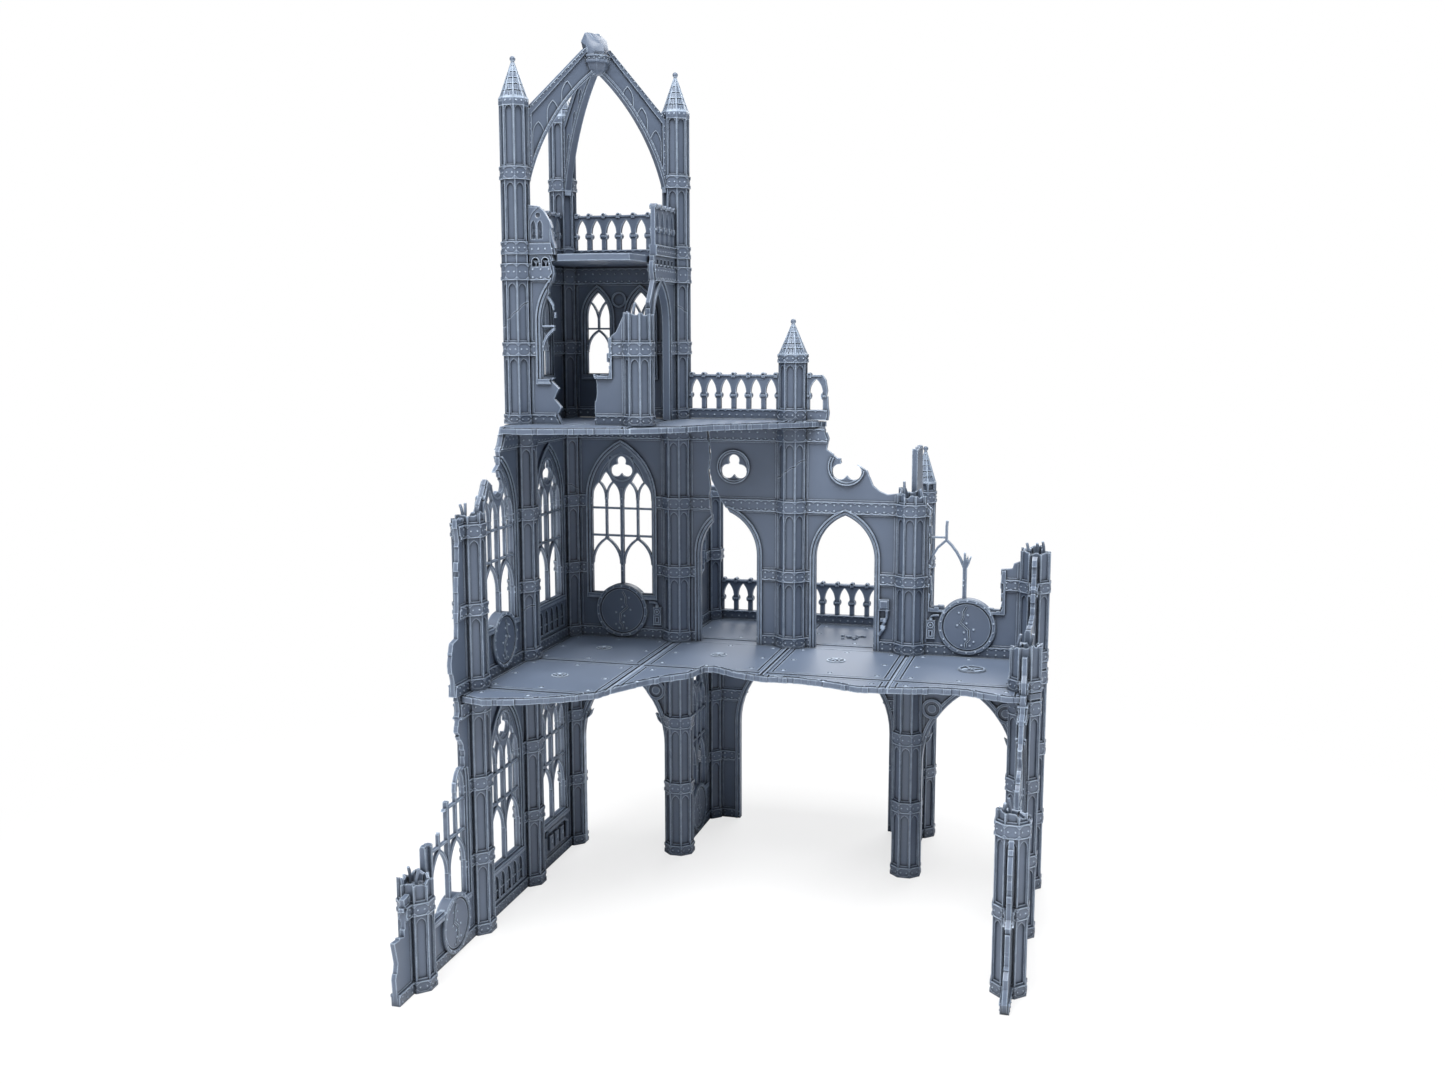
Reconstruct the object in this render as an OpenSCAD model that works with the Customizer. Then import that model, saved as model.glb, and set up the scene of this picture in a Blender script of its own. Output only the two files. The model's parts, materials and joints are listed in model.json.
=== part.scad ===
// Ruined gothic hall for tabletop games: two tall storeys, a tower storey and a belfry crown.
// Every storey is laid out on a square grid of bays, with octagonal columns at the grid points
// and thin wall panels between them. X runs along the back wall, -Y towards the open front.
// The origin is at ground level under the centre of the back left corner column.

/* [Grid] */
// Distance between column centres
bay = 66; // [62:1:72]
// Floor to floor height of the two tall storeys
storey = 126; // [122:1:134]
// Floor to floor height of the tower storey
tower_storey = 87; // [86:1:92]

/* [Walls, floors and columns] */
// Thickness of the wall panels
wall_t = 3; // [2.4:0.2:4]
// Thickness of the floor plates
floor_t = 3.5; // [3:0.25:4]
// Column width across flats
column_w = 15.5; // [14.5:0.5:16.5]
// How far bands and mouldings stand proud
proud = 0.9; // [0.6:0.1:1.2]
// Thickness of window tracery and railings
tracery_t = 2; // [1.6:0.1:2.4]

/* [Lift-off fits] */
// Diameter of the locating pegs under each upper storey
peg_d = 4; // [3:0.5:5]
// How far a peg reaches into the storey below
peg_len = 3; // [2:0.5:3]
// Radial clearance around a locating peg
peg_clearance = 0.1; // [0.05:0.05:0.1]
// Seam between neighbouring pieces
seam = 0.1; // [0.05:0.05:0.2]

/* [Hidden] */
$fn = 48;

plastic = "#6f7b8c";
reach = 4 * bay;
column_h = storey - floor_t;
edge = column_w / 2 + seam;
pillar_w = 0.94 * column_w;
pillar_edge = pillar_w / 2 + seam;
tower_wall_h = tower_storey - seam;
crown_w = 0.9 * column_w;
crown_edge = crown_w / 2 + seam;
crown_collar = 1.13 * bay;
crown_spire_h = 0.25 * bay;
boss_w = 14;
rib_t = 4.4;
rail_h = 0.37 * bay;
middle_z = storey + seam;
tower_z = 2 * storey + seam;
crown_z = 2 * storey + tower_storey + seam;
peg_hole_r = peg_d / 2 + peg_clearance;

// Bands as [low, high] heights on the wall, in bays
storey_bands = [[0, 0.085], [0.56, 0.65], [1.14, 1.24], [1.73, 1.84]];
tower_bands = [[0, 0.075], [0.535, 0.64], [1.12, 1.25]];
crown_bands = [[0, 0.1], [0.57, 0.67]];

// Window and door proportions, in bays
window_half = 0.27;
window_sill = 0.39;
window_spring = 1.21;
window_apex = 1.66;
door_half = 0.245;
door_spring = 0.766;
door_apex = 1.126;
door_at = 0.455;
hall_arch_half = 0.375;
hall_arch_spring = 0.97;
hall_arch_apex = 1.62;
porch_arch_half = 0.7;
porch_arch_spring = 0.93;
porch_arch_apex = 1.66;

// ---------- placing ----------

// Stands a drawing of the wall up along the back wall, u to +X
module along_back(x, y, z = 0) {
    translate([x, y, z]) rotate([90, 0, 0]) children();
}

// Stands a drawing of the wall up along a side wall, u towards the front
module along_side(x, y, z = 0) {
    translate([x, y, z]) rotate([90, 0, -90]) children();
}

// Stands a drawing of the wall up along a side wall, u towards the back
module along_porch(x, y, z = 0) {
    translate([x, y, z]) rotate([90, 0, 90]) children();
}

// ---------- flat drawings ----------

// Pointed opening centred on x = 0; $grow widens it all round
module pointed(half, sill, spring, apex) {
    rise = apex - spring;
    radius = (half * half + rise * rise) / (2 * half);
    translate([-half - $grow, sill - $grow])
        square([2 * (half + $grow), spring - sill + $grow]);
    intersection() {
        translate([radius - half, spring]) circle(r = radius + $grow);
        translate([half - radius, spring]) circle(r = radius + $grow);
        translate([-half - $grow, spring - 1])
            square([2 * (half + $grow), rise + 3 * $grow + 2]);
    }
}

// Three lobes around a centre, one lobe up
module trefoil(lobe) {
    for (turn = [90, 210, 330])
        rotate(turn) translate([0.85 * lobe, 0]) circle(r = lobe);
}

// The panes of a tall two light window, standing on the wall's baseline
module tall_window_panes() {
    $grow = 0;
    for (side = [-1, 1]) translate([side * 0.14 * bay, 0]) {
        pointed(0.118 * bay, window_sill * bay, 0.68 * bay, 0.85 * bay);
        difference() {
            translate([-0.118 * bay, 0.72 * bay]) square([0.236 * bay, 0.155 * bay]);
            pointed(0.145 * bay, window_sill * bay, 0.68 * bay, 0.885 * bay);
        }
        for (light = [-1, 1]) translate([light * 0.064 * bay, 0]) {
            translate([-0.054 * bay, 0.9 * bay]) square([0.108 * bay, 0.22 * bay]);
            pointed(0.054 * bay, 1.142 * bay, 1.21 * bay, 1.33 * bay);
        }
        intersection_for (lean = [-1, 1])
            translate([lean * 0.06 * bay, 1.375 * bay]) circle(r = 0.1 * bay);
    }
    translate([0, 1.49 * bay]) trefoil(0.058 * bay);
}

module tall_window_opening() {
    pointed(window_half * bay, window_sill * bay, window_spring * bay, window_apex * bay);
}

// The panes of a small two light window of the tower
module small_window_panes(half, sill, spring, apex) {
    $grow = 0;
    mid = sill + 0.52 * (apex - sill);
    difference() {
        pointed(half, sill, spring, apex);
        translate([-half, mid]) square([2 * half, 1.2]);
        translate([-0.6, mid]) square([1.2, spring - mid + 1]);
        difference() {
            pointed(half + 0.1, sill, mid - 1.3 * half, mid);
            translate([0, -1.3]) pointed(half - 1, sill - 1, mid - 1.3 * half, mid);
            translate([-half - 1, sill - 3]) square([2 * half + 2, mid - 1.3 * half - sill + 3]);
        }
    }
}

module door_opening() {
    pointed(door_half * bay, -1, door_spring * bay, door_apex * bay);
}

// A run of pointed openings between balusters, from baseline 0
module rail_openings(run, count, low, high) {
    $grow = 0;
    pitch = floor(20 * run / count) / 20;
    margin = (run - count * pitch) / 2;
    for (i = [0 : count - 1])
        translate([margin + (i + 0.5) * pitch, 0])
            pointed(0.36 * pitch, low, high - 0.7 * pitch, high);
}

// ---------- solids ----------

// Upright wall slab cut to an outline, with raised bands that follow the broken edge.
// The first child is the opening, the second the panes left open in its tracery.
module wall_panel(outline, bands = storey_bands) {
    linear_extrude(wall_t, center = true) difference() {
        polygon(outline);
        if ($children > 0)
            grown(0) children(0);
    }
    linear_extrude(wall_t + 2 * proud, center = true) difference() {
        intersection() {
            polygon(outline);
            union() {
                for (band = bands)
                    translate([-bay, band[0] * bay]) square([4 * bay, (band[1] - band[0]) * bay]);
                if ($children > 0)
                    grown(0.03 * bay) children(0);
            }
        }
        if ($children > 0)
            grown(0) children(0);
    }
    if ($children > 1)
        linear_extrude(tracery_t, center = true) difference() {
            intersection() {
                polygon(outline);
                grown(0.3) children(0);
            }
            children(1);
        }
}

module grown(amount) {
    $grow = amount;
    children();
}

// Rectangle of a whole panel between two columns
function panel_outline(from, to, high) = [[from, 0], [to, 0], [to, high], [from, high]];

// Whole bay with a tall window
module window_bay() {
    wall_panel(panel_outline(edge, bay - edge, column_h)) {
        translate([bay / 2, 0]) tall_window_opening();
        translate([bay / 2, 0]) tall_window_panes();
    }
}

// Round cast plate on both faces of a wall
module medallion(u, z, r) {
    translate([u * bay, z * bay, 0]) {
        cylinder(r = r * bay, h = wall_t + 2 * proud + 0.4, center = true);
        difference() {
            cylinder(r = (r + 0.025) * bay, h = wall_t + 2 * proud + 1.4, center = true);
            cylinder(r = (r - 0.015) * bay, h = wall_t + 4 * proud + 2, center = true);
        }
    }
}

// Blind arcade relief under a window sill
module sill_arcade(low, high) {
    run = 2 * window_half * bay;
    translate([bay / 2 - run / 2, low * bay, 0])
        linear_extrude(wall_t + 2 * proud, center = true) difference() {
            square([run, (high - low) * bay]);
            rail_openings(run, 5, 0.03 * bay, (high - low - 0.025) * bay);
        }
}

module octagon_bar(across, high) {
    rotate(22.5) cylinder(d = across / cos(22.5), h = high, $fn = 8);
}

// Column with raised bands; the seat under its foot is left free for a peg
module column(high, across = column_w, bands = storey_bands) {
    octagon_bar(across - 2 * 0.35, high);
    for (corner = [0 : 7])
        rotate(22.5 + corner * 45)
            translate([across / 2 / cos(22.5) - 0.9, 0, 0]) cylinder(r = 0.7, h = high, $fn = 8);
    for (band = bands) {
        low = band[0] * bay;
        if (low < high)
            translate([0, 0, low]) octagon_bar(across, min(band[1] * bay, high) - low);
    }
}

// Takes off everything above a tilted plane at height z
module snapped(z, lean_x, lean_y) {
    difference() {
        children();
        translate([0, 0, z]) rotate([lean_x, lean_y, 0])
            translate([-bay, -bay, 0]) cube([2 * bay, 2 * bay, 2 * storey]);
    }
}

// Bent reinforcing bars standing out of a broken column
module bars(z, spots) {
    for (i = [0 : len(spots) - 1])
        translate([spots[i][0], spots[i][1], z - 4])
            rotate([8 * (i % 2) - 4, 10 - 8 * i, 0]) cylinder(r = 0.8, h = 9 + 1.5 * (i % 2), $fn = 12);
}

module peg() {
    translate([0, 0, -peg_len]) cylinder(d = peg_d, h = peg_len + 1);
}

module peg_hole(x, y, depth) {
    translate([x, y, -depth]) cylinder(r = peg_hole_r, h = depth + 1);
}

// Eight sided pointed cap as crossed wedges
module spire(across, high) {
    intersection_for (turn = [0 : 3])
        rotate([0, 0, 45 * turn]) rotate([90, 0, 0])
            linear_extrude(2 * across, center = true)
                polygon([[-across / 2, 0], [across / 2, 0], [0, high]]);
    translate([0, 0, high - 1]) sphere(r = 1.1);
}

// Railing with pointed openings, round studs on the top rail, from u = 0 to run
module railing(run, count, high = rail_h) {
    base = 0.085 * bay;
    linear_extrude(tracery_t + 0.6, center = true) difference() {
        square([run, high]);
        rail_openings(run, count, base, high - 0.04 * bay);
    }
    linear_extrude(tracery_t + 2 * proud, center = true) square([run, base]);
    for (i = [0 : count])
        translate([min(max(i * run / count, 1.4), run - 1.4), high, 0])
            cylinder(r = 1.1, h = tracery_t + 1, center = true);
}

module floor_plate(outline, thick) {
    linear_extrude(thick) polygon(outline);
}

// Outline round a column's seat where it stands out of a side edge, front to back.
// side is -1 on the left edge and 1 on the right one; all in bays
function side_seat(x, side, y) = [
    [x + side * wall_line, y - seat_far], [x + side * seat_near, y - seat_far],
    [x + side * seat_far, y - seat_near], [x + side * seat_far, y + seat_near],
    [x + side * seat_near, y + seat_far], [x + side * wall_line, y + seat_far]
];

// The same at a back corner, from the side edge round to the back edge
function corner_seat(x, side) = [
    [x + side * wall_line, -seat_far], [x + side * seat_near, -seat_far],
    [x + side * seat_far, -seat_near], [x + side * seat_far, seat_near],
    [x + side * seat_near, seat_far], [x - side * seat_near, seat_far],
    [x - side * seat_far, seat_near], [x - side * seat_far, wall_line]
];

// The same in the back edge, right to left
function back_seat(x) = [
    [x + seat_far, wall_line], [x + seat_far, seat_near], [x + seat_near, seat_far],
    [x - seat_near, seat_far], [x - seat_far, seat_near], [x - seat_far, wall_line]
];

// Half a seat in the back edge, ending at the cut between two floors
function half_seat(x, side, cut) = [
    [x + side * seat_far, wall_line], [x + side * seat_far, seat_near],
    [x + side * seat_near, seat_far], [cut, seat_far]
];

// ---------- ground storey ----------

module ground_left_bay_1() {
    color(plastic) along_side(0, 0) {
        window_bay();
        translate([0.3 * bay, 0.3 * bay, 0]) rotate([0, 90, 0])
            cylinder(r = 1.6 + wall_t / 2, h = 0.4 * bay);
    }
}

module ground_left_bay_2() {
    color(plastic) along_side(0, -bay) {
        window_bay();
        sill_arcade(0.12, 0.36);
    }
}

module ground_left_bay_3() {
    right = 1 - edge / bay;
    left = edge / bay;
    top = storey / bay;
    color(plastic) along_side(0, -2 * bay) {
        wall_panel(bay * [
            [left, 0], [right, 0], [right, 0.97], [0.64, 0.98], [0.52, 1.18], [0.38, 1.18],
            [0.36, 1.34], [0.21, 1.36], [0.22, 1.52], [0.31, 1.64], [0.27, 1.79], [0.29, top], [left, top]
        ]) {
            translate([bay / 2, 0]) tall_window_opening();
            translate([bay / 2, 0]) tall_window_panes();
        }
        medallion(0.45, 0.235, 0.2);
    }
}

module ground_left_stub() {
    left = edge / bay;
    color(plastic) along_side(0, -3 * bay)
        wall_panel(bay * [
            [left, 0], [0.33, 0], [0.35, 0.2], [0.31, 0.3], [0.35, 0.46], [0.21, 0.45],
            [0.2, 0.71], [left, 0.72]
        ]);
}

// Bay with a wide pointed arch, claw shaped cusps and a pierced spandrel
module arch_bay() {
    wall_panel(panel_outline(edge, bay - edge, column_h)) {
        translate([bay / 2, 0])
            pointed(hall_arch_half * bay, -1, hall_arch_spring * bay, hall_arch_apex * bay);
    }
    for (side = [-1, 1])
        translate([bay / 2 + side * 0.29 * bay, 1.44 * bay, 0])
            cylinder(r = 0.075 * bay, h = wall_t + 2 * proud, center = true);
    for (side = [-1, 1])
        translate([bay / 2 + side * (hall_arch_half * bay - 1), 1.2 * bay, 0])
            rotate([0, 0, side * 60]) translate([-1.2, 0, -tracery_t / 2])
                cube([2.4, 0.1 * bay, tracery_t]);
}

module ground_back_arch_left() {
    color(plastic) along_back(0, 0) arch_bay();
}

module ground_back_arch_right() {
    color(plastic) along_back(3 * bay, 0) arch_bay();
}

module ground_right_bay_1() {
    color(plastic) along_side(4 * bay, 0) window_bay();
}

module ground_right_bay_2() {
    left = edge / bay;
    right = 1 - edge / bay;
    top = storey / bay;
    color(plastic) along_side(4 * bay, -bay) {
        wall_panel(bay * [
            [left, 0], [right, 0], [right, 1.14], [0.76, 1.16], [0.7, 1.34], [0.56, 1.37],
            [0.53, 1.55], [0.4, 1.6], [0.36, 1.76], [0.27, 1.79], [0.25, top], [left, top]
        ]) {
            translate([bay / 2, 0]) tall_window_opening();
            translate([bay / 2, 0]) tall_window_panes();
        }
        medallion(0.5, 0.235, 0.2);
    }
}

module ground_right_stub() {
    left = edge / bay;
    color(plastic) along_side(4 * bay, -2 * bay)
        wall_panel(bay * [
            [left, 0], [0.37, 0], [0.4, 0.08], [0.35, 0.17], [0.36, 0.24], [0.27, 0.3],
            [0.26, 0.56], [0.2, 0.6], [0.21, 0.98], [left, 1.14]
        ]);
}

// Porch side wall with one tall window over a round plate
module porch_side() {
    window_bay();
    medallion(0.5, 0.235, 0.2);
}

module porch_left_wall() {
    color(plastic) along_porch(bay, 0) porch_side();
}

module porch_right_wall() {
    color(plastic) along_porch(3 * bay, 0) porch_side();
}

module porch_arch_wall() {
    color(plastic) along_back(bay, bay)
        wall_panel(panel_outline(edge, 2 * bay - edge, column_h)) {
            translate([bay, 0])
                pointed(porch_arch_half * bay, -1, porch_arch_spring * bay, porch_arch_apex * bay);
        }
}

// Whole ground columns at a list of grid points
module ground_columns(spots) {
    for (spot = spots)
        translate(bay * [spot[0], spot[1], 0]) column(column_h);
}

module ground_columns_left() {
    color(plastic) ground_columns([[0, 0], [0, -1], [0, -2]]);
}

module ground_columns_back() {
    color(plastic) ground_columns([[1, 0], [3, 0]]);
}

module ground_columns_right() {
    color(plastic) ground_columns([[4, 0], [4, -1]]);
}

module porch_posts() {
    color(plastic) ground_columns([[1, 1], [3, 1]]);
}

module ground_broken_column_left() {
    color(plastic) translate([0, -3 * bay, 0]) {
        snapped(0.81 * bay, 9, -6) column(column_h);
        bars(0.81 * bay, [[-3, 2], [2, -2]]);
    }
}

module ground_broken_column_right() {
    color(plastic) translate([4 * bay, -2 * bay, 0]) {
        snapped(1.3 * bay, 6, 12) column(column_h);
        bars(1.3 * bay, [[-3, -2], [3, 1]]);
    }
}

// ---------- first floor ----------

module floor_one(outline, holes = []) {
    color(plastic) difference() {
        translate([0, 0, column_h]) floor_plate(bay * outline, floor_t);
        for (hole = holes)
            translate([0, 0, storey]) peg_hole(hole[0] * bay, hole[1] * bay, floor_t + 1);
    }
}

margin = 0.12;
wall_line = wall_t / 2 / bay;
beside = (wall_t / 2 + seam) / bay;
seat_far = column_w / 2 / bay;
seat_near = seat_far * tan(22.5);

module floor_one_left() {
    cut = 1 - seam / bay;
    floor_one(concat(
        side_seat(0, -1, -2), side_seat(0, -1, -1), corner_seat(0, -1), half_seat(1, -1, cut),
        [
            [cut, -1.78], [0.96, -1.9], [0.73, -2.09], [0.48, -2.22], [0.21, -2.31],
            [beside, -2.25], [beside, -2 - seat_far]
        ]
    ), [[0, 0], [0, -2]]);
}

module floor_one_middle() {
    left = 1 + seam / bay;
    right = 3 - seam / bay;
    back = margin - seam / bay;
    floor_one([
        [left, back], [right, back], [right, -1.2], [2.78, -1.23], [2.54, -1.14], [2.29, -1.08],
        [2.02, -1.1], [1.8, -1.02], [1.56, -0.88], [1.49, -0.9], [1.43, -1.14], [1.29, -1.28],
        [1.14, -1.49], [left, -1.76]
    ], [[2, 0]]);
}

module floor_one_right() {
    cut = 3 + seam / bay;
    floor_one(concat(
        side_seat(4, 1, -1), corner_seat(4, 1), half_seat(3, 1, cut),
        [
            [cut, -1.2], [3.15, -1.18], [3.36, -1.12], [3.58, -1.12], [3.74, -1.19],
            [3.88, -1.24], [4 - beside, -1.23], [4 - beside, -1 - seat_far]
        ]
    ), [[4, 0]]);
}

module porch_roof() {
    back = 1 + margin;
    front = margin + seam / bay;
    floor_one([
        [1 - margin, front], [3 + margin, front], [3 + margin, back], [1 - margin, back]
    ]);
}

// ---------- balcony on the porch roof ----------

module balcony_rail() {
    color(plastic) along_back(bay + edge, bay, storey) railing(2 * bay - 2 * edge, 13);
}

module balcony_corner_post() {
    across = column_w - 3;
    color(plastic) translate([3 * bay - 1.5, bay, storey]) {
        column(1.32 * bay, across);
        translate([0, 0, 1.32 * bay]) spire(across, 0.24 * bay);
    }
}

// Post left standing at the other corner and two tall slivers of the lost upper walls
module balcony_broken_posts() {
    color(plastic) {
        translate([bay, bay, storey]) snapped(1.26 * bay, -8, 14) column(column_h);
        along_porch(bay, 0, storey) linear_extrude(wall_t, center = true)
            polygon(bay * [
                [0.62, 0], [1 - edge / bay, 0], [1 - edge / bay, 0.86], [0.8, 0.8], [0.76, 0.5],
                [0.68, 0.46], [0.66, 0.2]
            ]);
        along_porch(3 * bay, 0, storey) linear_extrude(wall_t, center = true)
            polygon(bay * [
                [margin + 0.002, 0], [0.8, 0], [0.78, 0.3], [0.66, 0.36], [0.68, 0.7], [0.58, 0.85],
                [0.6, 1.22], [0.5, 1.4], [0.49, 1.68], [margin + 0.002, 1.68]
            ]);
    }
}

// ---------- middle storey ----------

module middle_left_bay_1() {
    color(plastic) along_side(0, 0, middle_z) {
        window_bay();
        sill_arcade(0.12, 0.36);
    }
}

module middle_left_bay_2() {
    left = edge / bay;
    right = 1 - edge / bay;
    top = (storey - 2 * seam) / bay;
    color(plastic) along_side(0, -bay, middle_z) {
        wall_panel(bay * [
            [left, 0], [right, 0], [right, 1.3], [0.76, 1.44], [0.7, 1.53], [0.58, 1.47],
            [0.49, 1.41], [0.43, 1.51], [0.54, 1.57], [0.46, 1.62], [0.46, 1.72], [0.4, 1.8],
            [0.36, top], [left, top]
        ]) {
            translate([bay / 2, 0]) tall_window_opening();
            translate([bay / 2, 0]) tall_window_panes();
        }
        medallion(0.47, 0.25, 0.2);
    }
}

module middle_left_stub() {
    left = edge / bay;
    color(plastic) along_side(0, -2 * bay, middle_z)
        wall_panel(bay * [
            [left, 0], [0.34, 0], [0.34, 0.12], [0.38, 0.25], [0.34, 0.4], [0.26, 0.42],
            [0.24, 0.7], [0.2, 1.12], [0.23, 1.29], [left, 1.29]
        ]);
}

module middle_back_bay_1() {
    color(plastic) along_back(0, 0, middle_z) {
        window_bay();
        medallion(0.5, 0.235, 0.21);
    }
}

// Bay split from the door arch to the top by a jagged crack
module middle_back_bay_2() {
    color(plastic) along_back(bay, 0, middle_z) difference() {
        union() {
            wall_panel(panel_outline(edge, bay - edge, column_h)) {
                union() {
                    translate([door_at * bay, 0]) door_opening();
                    translate([0.5 * bay, 1.51 * bay]) trefoil(0.055 * bay + $grow / 2);
                }
            }
        }
        linear_extrude(4 * wall_t, center = true) polygon(bay * [
            [0.28, 0.9], [0.32, 1.02], [0.3, 1.12], [0.285, 1.24], [0.295, 1.33], [0.28, 1.45],
            [0.29, 1.6], [0.28, 1.72], [0.268, 2], [0.276, 2], [0.29, 1.72], [0.3, 1.6], [0.29, 1.45],
            [0.31, 1.38], [0.365, 1.265], [0.41, 1.2], [0.46, 1.13], [0.46, 1]
        ]);
    }
}

module middle_back_bay_3() {
    left = edge / bay;
    right = 1 - edge / bay;
    top = column_h / bay;
    color(plastic) along_back(2 * bay, 0, middle_z)
        wall_panel(bay * [
            [left, 0], [right, 0], [right, 1.32], [0.8, 1.31], [0.735, 1.335], [0.68, 1.38],
            [0.63, 1.5], [0.55, 1.55], [0.38, 1.6], [0.29, 1.67], [0.31, 1.76], [0.27, top], [left, top]
        ]) {
            union() {
                translate([door_at * bay, 0]) door_opening();
                translate([0.46 * bay, 1.53 * bay]) trefoil(0.055 * bay + $grow / 2);
            }
        }
}

// Low bay with a round plate and the last splinters of its tracery
module middle_back_bay_4() {
    left = edge / bay;
    right = 1 - edge / bay;
    color(plastic) along_back(3 * bay, 0, middle_z) {
        wall_panel(bay * [
            [left, 0], [right, 0], [right, 0.8], [0.83, 0.78], [0.82, 0.74], [0.73, 0.73],
            [0.73, 0.4], [0.17, 0.4], [0.17, 1.2], [left, 1.25]
        ]);
        medallion(0.47, 0.245, 0.21);
        linear_extrude(tracery_t, center = true) {
            translate([0.44 * bay, 0.4 * bay]) square([2, 0.2 * bay]);
            translate([0.275 * bay, 0.88 * bay]) square([1.6, 0.22 * bay]);
            translate([0.16 * bay, 0.93 * bay]) square([0.13 * bay, 1.4]);
            difference() {
                $grow = 0;
                translate([0.285 * bay, 0]) pointed(0.16 * bay, 0.6 * bay, 0.68 * bay, 0.92 * bay);
                translate([0.285 * bay, -1.6]) pointed(0.14 * bay, 0.5 * bay, 0.68 * bay, 0.92 * bay);
            }
        }
    }
}

module middle_right_bay_1() {
    left = edge / bay;
    right = 1 - edge / bay;
    color(plastic) along_side(4 * bay, 0, middle_z)
        wall_panel(bay * [
            [left, 0], [right, 0], [right, 0.42], [0.8, 0.4], [0.6, 0.39], [0.36, 0.4],
            [0.27, 0.42], [0.26, 0.62], [0.2, 0.64], [0.19, 0.84], [left, 0.86]
        ]);
}

module middle_columns() {
    color(plastic) {
        for (spot = [[0, 0], [0, -1], [1, 0], [2, 0]])
            translate([spot[0] * bay, spot[1] * bay, middle_z]) column(column_h - seam);
        for (spot = [[0, 0], [2, 0]])
            translate([spot[0] * bay, spot[1] * bay, middle_z]) peg();
    }
}

module middle_broken_column_left() {
    color(plastic) translate([0, -2 * bay, middle_z]) {
        snapped(1.31 * bay, 4, -6) column(column_h);
        bars(1.31 * bay, [[-4, 2], [0, -3], [4, 1]]);
        peg();
    }
}

module middle_broken_column_back() {
    color(plastic) translate([3 * bay, 0, middle_z]) {
        snapped(1.35 * bay, -4, 9) column(column_h);
        bars(1.36 * bay, [[-4, 2]]);
    }
}

module middle_broken_column_corner() {
    color(plastic) translate([4 * bay, 0, middle_z]) {
        snapped(0.92 * bay, 8, -5) column(column_h);
        bars(0.92 * bay, [[-4, -2], [1, 0], [4, 2]]);
        peg();
    }
}

// Broken column with a sliver of the lost wall still standing in front of it
module middle_broken_column_right() {
    left = (edge - 2 * seam) / bay;
    color(plastic) {
        translate([4 * bay, -bay, middle_z]) {
            snapped(0.34 * bay, 5, 8) column(column_h);
            bars(0.34 * bay, [[-4, 0], [2, 3]]);
        }
        along_side(4 * bay, -bay, middle_z)
            wall_panel(bay * [
                [left, 0], [0.2, 0], [0.2, 0.09], [0.165, 0.14], [0.16, 0.27], [left, 0.27]
            ]);
    }
}

// ---------- second floor ----------

module floor_two(outline, holes) {
    color(plastic) difference() {
        translate([0, 0, storey + column_h + seam]) floor_plate(bay * outline, floor_t - seam);
        for (hole = holes)
            translate([0, 0, 2 * storey]) peg_hole(hole[0] * bay, hole[1] * bay, floor_t + 1);
    }
}

module floor_two_left() {
    cut = 1 - seam / bay;
    floor_two(concat(
        side_seat(0, -1, -1), corner_seat(0, -1), half_seat(1, -1, cut),
        [
            [cut, -1.24], [0.77, -1.32], [0.48, -1.41], [0.22, -1.5], [beside, -1.45],
            [beside, -1 - seat_far]
        ]
    ), [[0, 0], [0, -1]]);
}

module floor_two_right() {
    left = 1 + seam / bay;
    floor_two(concat(
        back_seat(2), half_seat(1, 1, left),
        [
            [left, -1.24], [1.06, -1.21], [1.31, -1.02], [1.53, -0.68], [1.8, -0.46],
            [2.07, -0.2], [2.26, 0], [2.28, wall_line]
        ]
    ), [[2, 0]]);
}

// ---------- tower storey ----------

// Tower window sizes in bays: half width, sill, spring, apex
tower_window = [0.1, 0.372, 0.842, 1.051];

module tower_window_opening() {
    pointed(tower_window[0] * bay, tower_window[1] * bay, tower_window[2] * bay, tower_window[3] * bay);
}

module tower_window_panes() {
    small_window_panes(tower_window[0] * bay, tower_window[1] * bay, tower_window[2] * bay,
        tower_window[3] * bay);
}

module tower_front_left_wall() {
    left = pillar_edge / bay;
    top = tower_wall_h / bay;
    color(plastic) along_back(0, -bay, tower_z)
        wall_panel(bay * [
            [left, 0], [0.36, 0], [0.33, 0.08], [0.36, 0.13], [0.3, 0.2], [0.34, 0.28], [0.28, 0.34],
            [0.34, 0.4], [0.34, 0.66], [0.31, 0.72], [0.31, 0.94], [0.27, 1.06], [0.32, 1.17],
            [0.3, top], [left, top]
        ], tower_bands) {
            union() {
                translate([0.32 * bay, 0])
                    pointed(0.11 * bay, 0.364 * bay, 0.8 * bay, 1.09 * bay);
                for (u = [0.168, 0.25])
                    translate([u * bay, 0])
                        pointed(0.028 * bay - $grow / 2, 1.228 * bay, 1.262 * bay, 1.29 * bay);
            }
            translate([0.32 * bay, 0])
                small_window_panes(0.11 * bay, 0.364 * bay, 0.8 * bay, 1.09 * bay);
        }
}

module tower_front_right_wall() {
    right = 1 - pillar_edge / bay;
    color(plastic) along_back(0, -bay, tower_z)
        wall_panel(bay * [
            [0.645, 0], [right, 0], [right, 0.86], [0.85, 0.78], [0.82, 0.72], [0.755, 0.67],
            [0.755, 0.393], [0.63, 0.393], [0.66, 0.25], [0.64, 0.12]
        ], tower_bands);
}

module tower_left_wall() {
    color(plastic) along_side(0, 0, tower_z)
        wall_panel(panel_outline(pillar_edge, bay - pillar_edge, tower_wall_h), tower_bands) {
            translate([0.5 * bay, 0]) tower_window_opening();
            translate([0.5 * bay, 0]) tower_window_panes();
        }
}

module tower_back_wall() {
    color(plastic) along_back(0, 0, tower_z)
        wall_panel(panel_outline(pillar_edge, bay - pillar_edge, tower_wall_h), tower_bands) {
            for (u = [0.31, 0.69])
                translate([u * bay, 0]) tower_window_opening();
            for (u = [0.31, 0.69])
                translate([u * bay, 0]) tower_window_panes();
        }
}

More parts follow.
